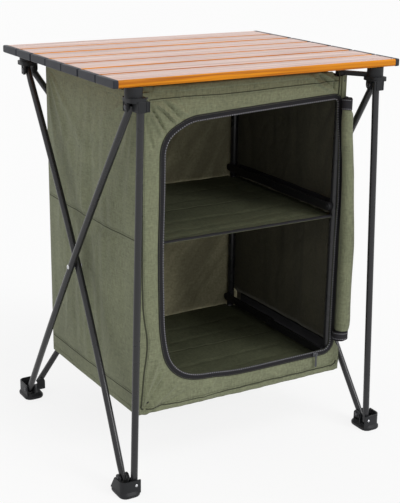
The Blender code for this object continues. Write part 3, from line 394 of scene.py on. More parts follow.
def wood_print_finish(name, colours, line_colour, roughness, **sockets):
    """A wood-grain film printed on aluminium: long streaks down the slat, thin dark lines, a clear coat."""
    shader, add = start_finish(name, roughness, **sockets)
    place = add("ShaderNodeTexCoord").outputs["Object"]
    # Real streaks are 2 to 6 mm wide and run most of the slat's length.
    wide = add(MAPPING, {"Vector": place, "Scale": Vector((3.2, 170.0, 230.0))})
    streak = add(NOISE, {"Vector": wide, "Scale": 1.0, "Detail": 4.0, "Distortion": 0.45})
    fine = add(MAPPING, {"Vector": place, "Scale": Vector((9.0, 900.0, 900.0))})
    pore = add(NOISE, {"Vector": fine, "Scale": 1.0, "Detail": 2.0})
    spread = add(RANGE, {0: streak, 1: 0.32, 2: 0.68})
    tone = add(MIX, {0: spread, 6: colours[0], 7: colours[1]}, data_type="RGBA").outputs[2]
    line = add(RANGE, {0: pore, 1: 0.56, 2: 0.72, 4: 0.55})
    end_finish(shader, add, line, (tone, line_colour), pore, 0.00003, 0.5)


def add_streaks(name, dark):
    """Slanted soft streaks over a cloth, where its creases let less daylight through."""
    tree = finishes[name].node_tree
    add = partial(add_node, tree)
    shader = tree.nodes["Principled BSDF"]
    place = add("ShaderNodeTexCoord").outputs["Object"]
    # A streak is about 40 mm wide and 190 mm long, and leans to the right.
    lean = {"Rotation": Vector((0.0, 0.62, 0.0)), "Scale": Vector((0.040, 1.0, 0.190))}
    turned = add(MAPPING, {"Vector": place, **lean}, vector_type="TEXTURE")
    streak = add(NOISE, {"Vector": turned, "Scale": 1.0, "Detail": 3.0, "Distortion": 0.7})
    share = add(RANGE, {0: streak, 1: 0.38, 2: 0.64, 4: 0.62})
    cloth = shader.inputs["Base Color"].links[0].from_socket
    mix = add(MIX, {0: share, 6: cloth, 7: dark}, data_type="RGBA")
    feed(shader, {"Base Color": mix.outputs[2]})


def make_finishes(colours):
    """Every finish of the cupboard, named for what the real one is."""
    dull = {"Specular_IOR_Level": 0.2}
    # Polyester powder coat on steel tube: nearly black, satin, a faint orange peel of about 1.5 mm.
    tube = pair(colours.tube, 0.8, 1.3)
    grainy_finish("powder_coated_tube", tube, 1.5, 0.02, 0.28, 0.05, Specular_IOR_Level=0.4)
    # Glass-filled nylon from a spark-eroded mould: charcoal, matt, fine grain, drawn at 0.9 mm to show.
    grainy_finish("moulded_nylon", pair(colours.nylon, 0.6, 1.45), 0.9, 0.05, 0.46, 0.08, **dull)
    # The slats' end caps are the same nylon with a cooler, blue-grey tint.
    grainy_finish("moulded_end_cap", pair(colours.end_cap, 0.7, 1.35), 0.9, 0.04, 0.46, 0.08, **dull)
    # Nickel-plated steel rivets: bright, with fine turning marks.
    grainy_finish("nickel_rivet", pair(linear("C9CACD"), 0.8, 1.0), 0.4, 0.01, 0.26, 0.06, Metallic=1.0)
    # Black-oxide rivets on the side bars and in the corner fittings.
    grainy_finish("black_oxide_rivet", pair(linear("4A4A4E"), 0.7, 1.0), 0.5, 0.01, 0.34, 0.06, Metallic=0.7)
    # Painted flat steel of the folding side bars: black, with lengthwise rolling marks.
    bar = pair(linear("1D1D1F"), 0.8, 1.4)
    grainy_finish("painted_side_bar", bar, 1.2, 0.02, 0.44, 0.06, (1, 0.12, 1), **dull)
    # Wood-grain film on extruded aluminium; in the photograph's light its face shows a pale mauve bloom.
    bloom = (linear("B48D81"), linear("F6D2C4"))
    wood_print_finish("wood_print_face", bloom, linear("8C6459"), 0.36, Coat_Weight=0.15, Coat_Roughness=0.25)
    amber = (linear("A85A06"), linear("F09A12"))
    wood_print_finish("wood_print_edge", amber, linear("6E3A08"), 0.50, **dull)
    # 600-denier polyester: an even weave with a dry, slightly fuzzy face.
    olive = colours.cloth
    sheen = {"Sheen_Weight": 0.12, "Sheen_Roughness": 0.5}
    woven_finish("polyester_canvas", pair(olive, 0.46, 1.58), 0.20, 0.88, 0.55, **sheen)
    # The coated inner side, paler on the back wall, where daylight comes through the cloth.
    sheen = {"Sheen_Weight": 0.05, "Sheen_Roughness": 0.5}
    for name, share in (("coated_canvas_back", 0.42), ("daylit_canvas_back", 3.0)):
        lining = pair(colours.lining, 0.50 * share, 1.50 * share)
        woven_finish(name, lining, 0.20, 0.82, 0.40, **sheen)
    add_streaks("daylit_canvas_back", shade(colours.lining, 1.2))
    # The shelf and the floor are the outer cloth, face up, and darker from use.
    woven_finish("shelf_canvas", pair(olive, 0.22, 0.84), 0.20, 0.85, 0.50, **dull)
    # Olive webbing of the corner tabs, with its threads across.
    webbing = pair(olive, 0.60, 1.25)
    grainy_finish("olive_webbing", webbing, 1.4, 0.12, 0.80, 0.05, (0.3, 1, 1), Sheen_Weight=0.1)
    # The sewn-in fold of a seam: the outer cloth, in its own shadow.
    woven_finish("seam_shadow_canvas", pair(shade(olive, 0.34), 0.6, 1.0), 0.10, 0.95, 0.5)
    # Grosgrain binding: black polyester with ribs about 1 mm apart, drawn at 1.6 mm.
    ribbed_finish("grosgrain_binding", pair(colours.tape, 0.6, 2.0), 1.6, 0.15, 0.80, **dull)
    # Zip tape: a tight black twill, smoother than the binding.
    ribbed_finish("zip_tape_twill", pair(colours.tape, 0.5, 1.2), 1.2, 0.08, 0.75, **dull)
    # Nylon coil of the zip: charcoal and a little glossy.
    grainy_finish("nylon_coil", pair(linear("8E8E93"), 0.7, 1.2), 0.8, 0.02, 0.40, 0.08)
    # Die-cast zinc slider with worn dark grey paint.
    grainy_finish("painted_zinc", pair(linear("56575B"), 0.55, 1.1), 0.9, 0.03, 0.42, 0.08, Metallic=0.6)
    # Bonded polyester thread, a darker olive than the cloth.
    grainy_finish("bonded_thread", pair(linear("5A5D48"), 0.75, 1.3), 0.5, 0.03, 0.62, 0.05)


# Meshes
def link(name, data, *names):
    """An object from its mesh, lamp or camera. names are a mesh's finishes, in order."""
    for finish in names:
        data.materials.append(finishes[finish])
    piece = bpy.data.objects.new(name, data)
    bpy.context.scene.collection.objects.link(piece)
    return piece


def settle(piece, slot, body, node=None, crumple=None):
    """Give a piece its slot, its body, the node that it stands for and the way it crumples in the fold."""
    if node is not None:
        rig.replaces(piece, node)
    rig.slot(piece, slot)
    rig.ride(piece, body)
    if crumple is not None:
        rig.squash(piece, "frame_fold", **crumple)
    return piece


def reshaped(mesh, change):
    """A mesh after one change to its bmesh."""
    shape = bmesh.new()
    shape.from_mesh(mesh)
    change(shape)
    shape.to_mesh(mesh)
    shape.free()
    return mesh


def mesh_of(verts, faces, uvs=None, outward=None, sharp=35.0):
    """A smooth mesh. uvs hold one pair for each face corner; outward turns an open sheet to face that way."""
    mesh = bpy.data.meshes.new("shape")
    mesh.from_pydata([tuple(vert) for vert in verts], [], faces)
    if uvs is not None:
        layer = mesh.uv_layers.new(name="cloth")
        layer.data.foreach_set("uv", [value for place in uvs for value in place])
    mesh.update()
    if outward is None:
        reshaped(mesh, lambda shape: bmesh.ops.recalc_face_normals(shape, faces=shape.faces[:]))
    else:
        total = Vector((0.0, 0.0, 0.0))
        for face in mesh.polygons:
            total += face.normal * face.area
        if total.dot(Vector(outward)) < 0:
            mesh.flip_normals()
    mesh.shade_smooth()
    mesh.set_sharp_from_angle(angle=math.radians(sharp))
    return mesh


def loft(rings, sharp):
    """A closed mesh through rings of points, with a lid at both ends."""
    size = len(rings[0])
    last = (len(rings) - 1) * size
    faces = []
    for first in range(0, last, size):
        for index in range(size):
            beside = (index + 1) % size
            faces.append([first + index, first + beside, first + size + beside, first + size + index])
    faces += [list(range(size)), list(range(last, last + size))]
    return mesh_of([vert for ring in rings for vert in ring], faces, sharp=sharp)


def sheet_mesh(points, flat, outward, kept=None):
    """An open sheet through rows of points, its flat place in metres as UV. kept says which cells stay."""
    columns = len(points[0])
    faces = []
    uvs = []
    for row in range(len(points) - 1):
        for column in range(columns - 1):
            if kept is not None and not kept(row, column):
                continue
            corners = ((row, column), (row, column + 1), (row + 1, column + 1), (row + 1, column))
            faces.append([across * columns + along for across, along in corners])
            uvs += [flat[across][along] for across, along in corners]
    return mesh_of([point for row in points for point in row], faces, uvs, outward=outward, sharp=60.0)


def thicken(piece, thickness, inner_finish=None):
    """Give a sheet its thickness on the side away from its normals."""
    wall = piece.modifiers.new("thickness", "SOLIDIFY")
    wall.thickness = thickness
    wall.offset = -1.0
    if inner_finish is not None:
        piece.data.materials.append(finishes[inner_finish])
        wall.material_offset = 1
    return piece


def frames_along(points, facing, closed=False):
    """For each point of a line: the way along it, and two ways square to it, the second nearest to facing."""
    count = len(points)
    result = []
    for index in range(count):
        before = points[(index - 1) % count] if closed or index else points[0]
        after = points[(index + 1) % count] if closed or index < count - 1 else points[-1]
        along = (after - before).normalized()
        face = Vector(facing(index)) if callable(facing) else Vector(facing)
        out = (face - face.dot(along) * along).normalized()
        result.append((along, along.cross(out).normalized(), out))
    return result


def lengths_of(points):
    """How far along a line each of its points lies."""
    lengths = [0.0]
    for before, after in zip(points, points[1:]):
        lengths.append(lengths[-1] + (after - before).length)
    return lengths


def swept(points, facing, outline, closed=False):
    """A mesh swept along a line. Its outline is (across, outwards) pairs, or gives them for an index."""
    section = outline if callable(outline) else lambda index: outline
    frames = frames_along(points, facing, closed)
    lengths = lengths_of(points + points[:1] if closed else points)
    pairs = section(0)
    size = len(pairs)
    girth = [0.0]
    for before, after in zip(pairs, pairs[1:] + pairs[:1]):
        girth.append(girth[-1] + math.dist(before, after))
    verts = []
    for index, (point, (_, across, out)) in enumerate(zip(points, frames)):
        verts += [point + side * across + rise * out for side, rise in section(index)]
    faces = []
    uvs = []
    count = len(points)
    for ring in range(count if closed else count - 1):
        after = (ring + 1) % count
        for index in range(size):
            beside = (index + 1) % size
            corners = (ring, index), (ring, beside), (after, beside), (after, index)
            faces.append([row * size + column for row, column in corners])
            uvs += [(lengths[ring], girth[index]), (lengths[ring], girth[index + 1])]
            uvs += [(lengths[ring + 1], girth[index + 1]), (lengths[ring + 1], girth[index])]
    if not closed:
        for ring in (0, count - 1):
            faces.append([ring * size + index for index in range(size)])
            uvs += section(ring)
    return mesh_of(verts, faces, uvs)


def band_outline(width, thickness):
    """The outline of a flat band with rounded edges, lying on its surface."""
    half = width / 2
    edge = thickness * 0.45
    return [
        (-half, thickness * 0.1),
        (-half + edge, 0.0),
        (half - edge, 0.0),
        (half, thickness * 0.1),
        (half, thickness * 0.6),
        (half - edge, thickness),
        (-half + edge, thickness),
        (-half, thickness * 0.6),
    ]


def turns_round(sides):
    """The angles of a round outline's points."""
    return [2 * math.pi * step / sides for step in range(sides)]


def round_outline(radius, sides):
    """A round outline."""
    return [(radius * math.cos(turn), radius * math.sin(turn)) for turn in turns_round(sides)]


def lathe_tube(points, pin, radius, flattened):
    """A round tube along a line, with recessed ends, pressed a little flat where it is riveted."""
    frames = frames_along(points, pin)
    runs = lengths_of(points)
    total = runs[-1]
    # Steps in from each end: how far along, and the share of the radius. The first pair is the plug inside.
    ends = [(0.004, 0.70), (0.0002, 0.74), (0.0, 0.80), (0.0, 0.93)]
    full = {0.0007, *runs[1:-1]}
    for step in range(1, 9):
        full |= {0.0045 * step, total - 0.0045 * step}
    steps = ends + [(run, 1.0) for run in sorted(full)]
    steps += [(total - run, share) for run, share in reversed(ends)]
    rings = []
    for run, share in steps:
        index = max(i for i in range(len(runs) - 1) if runs[i] <= run + 1e-9 or i == 0)
        place = points[index].lerp(points[index + 1], (run - runs[index]) / (runs[index + 1] - runs[index]))
        _, across, out = frames[index]
        near = 1.0
        if flattened[0]:
            near = min(near, run / FLAT_REACH)
        if flattened[1]:
            near = min(near, (total - run) / FLAT_REACH)
        ease = smooth_step(near)
        thin = 0.84 + 0.16 * ease
        wide = 1.07 - 0.07 * ease
        ring = []
        for turn in turns_round(28):
            offset = across * (wide * math.cos(turn)) + out * (thin * math.sin(turn))
            ring.append(place + offset * radius * share)
        rings.append(ring)
    return loft(rings, 40.0)


def cad_copy(name, node, width, finish, slot, body):
    """A merged copy of a CAD node with softened edges, which stands for it."""
    shape = bmesh.new()
    shape.from_mesh(frame["nodes"][node].data)
    bmesh.ops.remove_doubles(shape, verts=shape.verts[:], dist=0.00002)
    bmesh.ops.dissolve_limit(shape, angle_limit=math.radians(2.0), verts=shape.verts[:], edges=shape.edges[:])
    verts = [vert.co.copy() for vert in shape.verts]
    for index, vert in enumerate(shape.verts):
        vert.index = index
    faces = [[vert.index for vert in face.verts] for face in shape.faces]
    shape.free()
    piece = link(name, mesh_of(verts, faces, sharp=30.0), finish)
    soften(piece, width)
    return settle(piece, slot, body, node)


def soften(piece, width):
    """Round a hard piece's edges."""
    bevel = piece.modifiers.new("edges", "BEVEL")
    bevel.width = width
    bevel.segments = 2
    bevel.limit_method = "ANGLE"
    bevel.angle_limit = math.radians(38)


def join_meshes(meshes):
    """One mesh from several, each closed in itself, keeping UVs and finishes' numbers."""
    shape = bmesh.new()
    for mesh in meshes:
        shape.from_mesh(mesh)
    joined = bpy.data.meshes.new("shape")
    shape.to_mesh(joined)
    shape.free()
    for mesh in meshes:
        bpy.data.meshes.remove(mesh)
    joined.shade_smooth()
    joined.set_sharp_from_angle(angle=math.radians(35))
    return joined


# Geometry Nodes
def start_tree(name, labels):
    """A geometry tree with number inputs and a finish: it, its inputs' identifiers, add_node, its inputs."""
    tree = bpy.data.node_groups.new(name, "GeometryNodeTree")
    tree.interface.new_socket("Geometry", in_out="INPUT", socket_type="NodeSocketGeometry")
    found = {}
    for label in (*labels, "Finish"):
        kind = "NodeSocketMaterial" if label == "Finish" else "NodeSocketFloat"
        found[label] = tree.interface.new_socket(label, in_out="INPUT", socket_type=kind).identifier
    tree.interface.new_socket("Geometry", in_out="OUTPUT", socket_type="NodeSocketGeometry")
    add = partial(add_node, tree)
    return tree, found, add, add("NodeGroupInput").outputs


def end_tree(add, group, points, element, turn):
    """Stand an element on each point, as real geometry, smooth and in its finish."""
    placed = add("GeometryNodeInstanceOnPoints", {"Points": points, "Instance": element, "Rotation": turn})
    real = add("GeometryNodeRealizeInstances", {0: placed})
    smooth = add("GeometryNodeSetShadeSmooth", {0: real})
    done = add("GeometryNodeSetMaterial", {"Geometry": smooth, "Material": group["Finish"]})
    add("NodeGroupOutput", {0: done})


def domes_tree():
    """Rivet heads: a domed head on each point, standing along the point's own direction."""
    tree, found, add, group = start_tree("rivet_heads", ("Radius", "Height"))
    size = add("ShaderNodeCombineXYZ", {0: group["Radius"], 1: group["Radius"], 2: group["Height"]})
    ball = add("GeometryNodeMeshUVSphere", {"Segments": 20, "Rings": 10, "Radius": 1.0})
    head = add("GeometryNodeTransform", {"Geometry": ball, "Scale": size})
    way = add("GeometryNodeInputNamedAttribute", {"Name": "direction"}, data_type="FLOAT_VECTOR")
    turn = add("FunctionNodeAlignRotationToVector", {"Vector": way}, axis="Z")
    spots = add("GeometryNodeMeshToPoints", {"Mesh": group["Geometry"]})
    end_tree(add, group, spots, head, turn)
    return tree, found


def run_tree():
    """Stitches, zip teeth and ribs: one small rounded element after another along a path."""
    tree, found, add, group = start_tree("run_of_elements", ("Spacing", "Length", "Width", "Height"))
    path = add("GeometryNodeMeshToCurve", {0: group["Geometry"]})
    spaced = add("GeometryNodeResampleCurve", {"Curve": path, "Length": group["Spacing"]}, mode="LENGTH")
    size = add("ShaderNodeCombineXYZ", {0: group["Length"], 1: group["Width"], 2: group["Height"]})
    bead = add("GeometryNodeMeshUVSphere", {"Segments": 8, "Rings": 4, "Radius": 0.5})
    turned = add("GeometryNodeTransform", {"Geometry": bead, "Rotation": (0.0, math.pi / 2, 0.0)})
    element = add("GeometryNodeTransform", {"Geometry": turned, "Scale": size})
    way = add("GeometryNodeInputNamedAttribute", {"Name": "direction"}, data_type="FLOAT_VECTOR")
    upright = add("FunctionNodeAlignRotationToVector", {"Vector": way}, axis="Z")
    along = {"Rotation": upright, "Vector": add("GeometryNodeInputTangent")}
    turn = add("FunctionNodeAlignRotationToVector", along, axis="X", pivot_axis="Z")
    end_tree(add, group, spaced, element, turn)
    return tree, found


def grown(name, guide, make_tree, values, slot, body, node=None):
    """The plain mesh that a geometry tree, built once, grows on a guide mesh."""
    if make_tree not in trees:
        trees[make_tree] = make_tree()
    tree, found = trees[make_tree]
    holder = link("guide", guide)
    step = holder.modifiers.new("grow", "NODES")
    step.node_group = tree
    for label, value in values.items():
        step[found[label]] = value
    holder.update_tag()
    view = bpy.context.evaluated_depsgraph_get()
    mesh = bpy.data.meshes.new_from_object(holder.evaluated_get(view))
    bpy.data.objects.remove(holder)
    bpy.data.meshes.remove(guide)
    if not mesh.polygons:
        raise RuntimeError(f"{name}: its geometry tree grew nothing")
    return settle(link(name, mesh), slot, body, node)


def guide_mesh(lines, directions, closed=False):
    """A guide of points joined in lines, each with the direction that its element faces."""
    verts = []
    edges = []
    ways = []
    for line, facing in zip(lines, directions):
        start = len(verts)
        verts += [tuple(point) for point in line]
        ways += [tuple(way) for way in facing]
        edges += [(start + index, start + index + 1) for index in range(len(line) - 1)]
        if closed:
            edges.append((start + len(line) - 1, start))
    mesh = bpy.data.meshes.new("guide")
    mesh.from_pydata(verts, edges, [])
    attribute = mesh.attributes.new("direction", "FLOAT_VECTOR", "POINT")
    attribute.data.foreach_set("vector", [value for way in ways for value in way])
    return mesh


def rivet_heads(name, spots, body, radius, height, finish, node=None):
    """Domed heads at spots, each a point and the way it faces."""
    guide = guide_mesh([[point for point, _ in spots]], [[way for _, way in spots]])
    values = {"Radius": radius, "Height": height, "Finish": finishes[finish]}
    return grown(name, guide, domes_tree, values, "rivet", body, node)


def row_of(name, lines, facing, body, sizes, finish, slot, closed=False):
    """Stitches, teeth or ribs along lines. sizes are their spacing, length, width and height."""
    directions = [facing(line) if callable(facing) else [facing] * len(line) for line in lines]
    guide = guide_mesh(lines, directions, closed)
    values = dict(zip(("Spacing", "Length", "Width", "Height"), sizes))
    values["Finish"] = finishes[finish]
    return grown(name, guide, run_tree, values, slot, body)


# Shapes that several pieces share
def even_steps(low, high, count):
    """Places from low to high, with both ends among them."""
    return [low + (high - low) * step / count for step in range(count + 1)]


def smooth_step(value):
    """From 0 to 1 with no kink at either end."""
    value = share_of(value)
    return value * value * (3 - 2 * value)


def wander(across, up, seed):
    """Smooth noise from -1 to 1."""
    return noise.noise(Vector((across, up, seed)))


def fan_of_folds(across, down, angles, spread, reach):
    """Folds that fan out from a corner: highest part of the way out, gone further on."""
    distance = math.hypot(across, down)
    if distance < 0.0001 or distance > 5 * reach:
        return 0.0
    turn = math.atan2(down, across)
    folds = sum(bump_at(turn, angle, spread) for angle in angles)
    return folds * distance / reach * math.exp(1.0 - distance / reach)


def opening_corners():
    """Each corner of the opening, from the lower left round: place, centre, radius and the way inwards."""
    (low_x, low_z), (high_x, high_z) = OPENING_LOW, OPENING_HIGH
    places = ((low_x, low_z, 1, 1), (high_x, low_z, -1, 1), (high_x, high_z, -1, -1), (low_x, high_z, 1, -1))
    corners = []
    for (x, z, inward_x, inward_z), radius in zip(places, OPENING_RADII):
        corners.append(((x, z), (x + inward_x * radius, z + inward_z * radius), radius, inward_x, inward_z))
    return corners


OPENING_CORNERS = opening_corners()


def opening_outline(grow, step):
    """The front opening's outline in (x, z), or one outside it, with points about a step apart."""
    outline = []
    for quarter, ((x, z), _, radius, inward_x, inward_z) in enumerate(OPENING_CORNERS):
        radius += grow
        centre_x = x - inward_x * grow + inward_x * radius
        centre_z = z - inward_z * grow + inward_z * radius
        turns = max(14, round(0.8 * math.pi * radius / step))
        for index in range(turns + 1):
            turn = 0.5 * math.pi * ((quarter + 2) % 4) + 0.5 * math.pi * index / turns
            outline.append((centre_x + radius * math.cos(turn), centre_z + radius * math.sin(turn)))
    filled = []
    for point, after in zip(outline, outline[1:] + outline[:1]):
        filled += between([point, after], max(1, round(math.dist(point, after) / step)))[:-1]
    return filled


def opening_distance(x, z):
    """How far a point of the front lies outside the opening."""
    nearest = min(OPENING_CORNERS, key=lambda corner: math.dist(corner[0], (x, z)))
    _, (centre_x, centre_z), radius, inward_x, inward_z = nearest
    if (x - centre_x) * inward_x < 0 and (z - centre_z) * inward_z < 0:
        return math.hypot(x - centre_x, z - centre_z) - radius
    outside_x = max(OPENING_LOW[0] - x, x - OPENING_HIGH[0])
    outside_z = max(OPENING_LOW[1] - z, z - OPENING_HIGH[1])
    return max(outside_x, outside_z)


def right_flare(z):
    """How far the right side stands out: a little lower down, most along its hem, less at its top."""
    low = 0.003 * smooth_step((0.45 - z) / 0.30) + 0.0105 * smooth_step((0.180 - z) / 0.018)
    return low - 0.0035 * smooth_step((z - 0.60) / 0.09)


def cloth_top(x):
    """The front cloth's upper edge, which reaches up under the slats between the two posts' rings."""
    return CLOTH_TOP_Z + CLOTH_TOP_RISE * (1.0 - smooth_step((abs(x) - 0.198) / 0.009))


def bump_at(value, middle, width):
    """A smooth hump of height 1."""
    return math.exp(-((value - middle) / width) ** 2)


def share_of(value):
    """A value held between 0 and 1."""
    return max(0.0, min(1.0, value))


def sewn_shift(x, z):
    """How far the sewn opening strays from its pattern at a place, traced from the photograph."""
    upper = smooth_step((z - 0.45) / 0.20)
    lower = smooth_step((0.33 - z) / 0.12)
    near_top = share_of((cloth_top(x) - z) / (cloth_top(x) - OPENING_HIGH[1] - TAPE_REACH))
    near_hem = share_of((z - bottom_z(x)) / (OPENING_LOW[1] - TAPE_REACH - bottom_z(x)))
    slope = (-0.0020 + 0.052 * x - 0.04 * x * x) * smooth_step((x - OPENING_LOW[0] + TAPE_REACH) / 0.05)
    up = slope * upper * near_top + 0.0075 * bump_at(x, -0.080, 0.050) * lower * near_hem
    left = share_of((x + WALL_FACE_X) / 0.044) * smooth_step((-0.06 - x) / 0.10)
    right = share_of((WALL_FACE_X - x) / 0.006) * smooth_step((x - 0.10) / 0.09)
    across = left * (0.0035 * bump_at(z, 0.248, 0.030) - 0.0030 * bump_at(z, 0.420, 0.100))
    across += right * (0.0025 * bump_at(z, 0.480, 0.060) - 0.0100 * smooth_step((z - 0.56) / 0.10))
    return across, up


def pattern_place(x, z):
    """The place on the pattern of a front point that is known as sewn."""
    across, up = sewn_shift(x, z)
    return x - across, z - up


# Creases of the front: from one (x, z) to another, the half width and the height; below 0 is a valley
FRONT_CREASES = (
    (-0.168, 0.7040, -0.128, 0.6765, 0.0019, -0.0034),
    (-0.160, 0.7080, -0.118, 0.6840, 0.0036, 0.0032),
    (-0.186, 0.7010, -0.146, 0.6740, 0.0032, 0.0036),
    (-0.184, 0.6950, -0.150, 0.6720, 0.0024, -0.0034),
    (-0.198, 0.6960, -0.170, 0.6540, 0.0024, -0.0046),
    (-0.204, 0.6930, -0.178, 0.6480, 0.0036, 0.0040),
    (-0.211, 0.6800, -0.196, 0.6300, 0.0030, -0.0024),
    (-0.150, 0.7230, -0.134, 0.7060, 0.0022, 0.0020),
    (-0.140, 0.7250, -0.128, 0.7090, 0.0018, -0.0016),
    (-0.214, 0.1280, -0.172, 0.1840, 0.0034, -0.0034),
    (-0.206, 0.1250, -0.150, 0.1640, 0.0042, 0.0036),
    (-0.196, 0.1230, -0.128, 0.1440, 0.0032, -0.0024),
    (-0.213, 0.1500, -0.188, 0.2160, 0.0040, 0.0032),
    (-0.206, 0.1500, -0.178, 0.2000, 0.0030, -0.0026),
    (-0.090, 0.1220, -0.060, 0.1500, 0.0045, 0.0016),
    (0.060, 0.1500, 0.105, 0.1240, 0.0045, 0.0016),
    (0.168, 0.7290, 0.203, 0.7010, 0.0026, -0.0040),
    (0.146, 0.7260, 0.190, 0.6980, 0.0032, 0.0038),
    (0.176, 0.7330, 0.204, 0.7150, 0.0026, 0.0034),
    (0.204, 0.7340, 0.206, 0.6950, 0.0022, -0.0046),
    (0.236, 0.1500, 0.214, 0.1300, 0.0035, -0.0020),
)


def crease_relief(x, z, creases):
    """The height of the creases near a place, each soft at its sides and fading at both ends."""
    total = 0.0
    for start_x, start_z, end_x, end_z, width, height in creases:
        run_x = end_x - start_x
        run_z = end_z - start_z
        share = ((x - start_x) * run_x + (z - start_z) * run_z) / (run_x * run_x + run_z * run_z)
        if -0.3 < share < 1.3:
            aside = math.hypot(x - start_x - share * run_x, z - start_z - share * run_z)
            if aside < 3 * width:
                fade = smooth_step((share + 0.3) / 0.35) * smooth_step((1.3 - share) / 0.5)
                total += height * fade * math.exp(-((aside / width) ** 2))
    return total


def ridged(across, up, seed):
    """Thin sharp ridges along winding lines, from 0 to 1, as handled cloth keeps them."""
    return max(0.0, 1.0 - 3.2 * abs(wander(across, up, seed))) ** 2


def front_relief(x, z):
    """How far the front cloth stands proud: creases, small wrinkles and slow waves, little beside the zip."""
    top = cloth_top(x)
    value = 0.0014 * (wander(11 * x, 8 * z, 3.1) + 0.5 * wander(34 * x, 15 * z, 8.4))
    value += 0.0012 * smooth_step((0.172 - z) / 0.03) * wander(60 * x, 9 * z, 5.7)
    value += 0.0006 * ridged(26 * x, 17 * z, 21.0) + 0.0004 * ridged(60 * x + 9 * z, 52 * z, 4.0)
    value += 1.3 * crease_relief(x, z, FRONT_CREASES)
    out = smooth_step((opening_distance(x, z) - 0.009) / 0.016)
    edge = smooth_step(min(x + WALL_FACE_X, WALL_FACE_X + right_flare(z) - x, top - z + 0.004) / 0.010)
    border = smooth_step((0.150 - x) / 0.04) * 0.7 + 0.3
    return (value + 0.0012) * (0.12 + 0.88 * out) * edge * (border if 0.19 < z < 0.68 else 1.0)


def front_y(x, z, lift):
    """The front face of the front cloth at a place of its pattern, or a little in front of it."""
    return FRONT_FACE_Y - front_relief(x, z) - lift


def bottom_z(x):
    """The front cloth's lower edge, which hangs a little below the floor and is rounded off at the right."""
    return 0.1165 + 0.0045 * smooth_step((0.05 - x) / 0.25) + 0.0012 * math.sin(9 * x + 0.6) \
        + 0.022 * smooth_step((x - 0.230) / 0.016)


def side_bottom_z(y):
    """The side walls' lower edge, lower at the rear."""
    return 0.1185 - 0.006 * smooth_step((y - WALL_FRONT_Y) / (WALL_REAR_Y - WALL_FRONT_Y))


# Settings
def colour_setting(label, note, code):
    """A colour that someone would change, given as sRGB hex."""
    return FloatVectorProperty(name=label, description=note, subtype="COLOR", size=4, default=linear(code))


def length_setting(label, note, metres):
    """A length that someone would change."""
    return FloatProperty(name=label, description=note, default=metres, unit="LENGTH")


class CupboardColours(bpy.types.PropertyGroup):
    """The colours that someone would change."""

    tube: colour_setting("Tube", "Powder coat of the tubes", "252527")
    nylon: colour_setting("Nylon", "Corner fittings and feet", "242527")
    end_cap: colour_setting("End caps", "Caps of the slats", "2B2D34")
    cloth: colour_setting("Cloth", "Outside of the cupboard", "71755B")
    lining: colour_setting("Lining", "Inside of the cupboard", "6B6752")
    tape: colour_setting("Tape", "Zip tape and bindings", "222124")


class FrameSizes(bpy.types.PropertyGroup):
    """Sizes of the tubes and rivets."""

    brace_radius: length_setting("Brace radius", "Half the crossed tubes' diameter", 0.0065)
    post_radius: length_setting("Post radius", "Half the posts' diameter", 0.008)
    bow_out: length_setting("Bow outwards", "Sideways bow of an outer brace", 0.005)
    bow_in: length_setting("Bow inwards", "Sideways bow of an inner brace", 0.009)
    overrun: length_setting("Overrun", "Tube beyond its pivot", 0.005)
    rivet_radius: length_setting("Rivet radius", "Half a rivet head's diameter", 0.0047)
    rivet_height: length_setting("Rivet height", "Height of a rivet's head", 0.0021)


class TopSizes(bpy.types.PropertyGroup):
    """Sizes of the slatted top."""

    slat_depth: length_setting("Slat depth", "Depth of one slat", 0.0676)
    edge_radius: length_setting("Edge radius", "Rounding along a slat", 0.0034)
    cap_length: length_setting("Cap length", "Length of an end cap", 0.0105)
    gap_cut: length_setting("Gap cut", "What a wider gap takes from each slat beside it", 0.0014)


class ClothSizes(bpy.types.PropertyGroup):
    """Sizes of the cloth and its sewing."""

    thickness: length_setting("Cloth thickness", "Thickness of the coated cloth", 0.0010)
    fold_depth: length_setting("Fold depth", "Depth of the soft upright folds", 0.0085)
    swell: length_setting("Swell", "How far a wall stands out", 0.0045)
    stitch_spacing: length_setting("Stitch spacing", "From stitch to stitch", 0.0042)
    stitch_length: length_setting("Stitch length", "Length of one stitch", 0.0031)
    binding_width: length_setting("Binding width", "Width of the shelf's binding", 0.0085)
    seam_radius: length_setting("Seam radius", "Half the width of a seam's shadow line", 0.0008)


class ZipSizes(bpy.types.PropertyGroup):
    """Sizes of the zip and of the rolled door."""

    tape_width: length_setting("Tape width", "Width of the zip's tape", 0.012)
    tooth_pitch: length_setting("Tooth pitch", "From turn to turn of the coil, drawn coarse", 0.0048)
    roll_pitch: length_setting("Roll pitch", "From turn to turn of the rolled door", 0.00125)
    roll_turns: IntProperty(name="Roll turns", description="Turns in the rolled door", default=8)


class CupboardSettings(bpy.types.PropertyGroup):
    """Everything that the operators read."""

    colours: PointerProperty(type=CupboardColours)
    frame_sizes: PointerProperty(type=FrameSizes)
    top_sizes: PointerProperty(type=TopSizes)
    cloth_sizes: PointerProperty(type=ClothSizes)
    zip_sizes: PointerProperty(type=ZipSizes)


# Stage
def camera_matrix():
    """The camera's place and turn, from its angles."""
    flat = math.cos(CAMERA_ELEVATION)
    sine = math.sin(CAMERA_AZIMUTH)
    cosine = math.cos(CAMERA_AZIMUTH)
    away = Vector((-sine * flat, cosine * flat, -math.sin(CAMERA_ELEVATION)))
    right = Vector((cosine, sine, 0.0))
    up = right.cross(away)
    rolled_right = right * math.cos(CAMERA_ROLL) + up * math.sin(CAMERA_ROLL)
    rolled_up = up * math.cos(CAMERA_ROLL) - right * math.sin(CAMERA_ROLL)
    turn = Matrix((rolled_right, rolled_up, -away)).transposed()
    return Matrix.Translation(CAMERA_PLACE) @ turn.to_4x4()


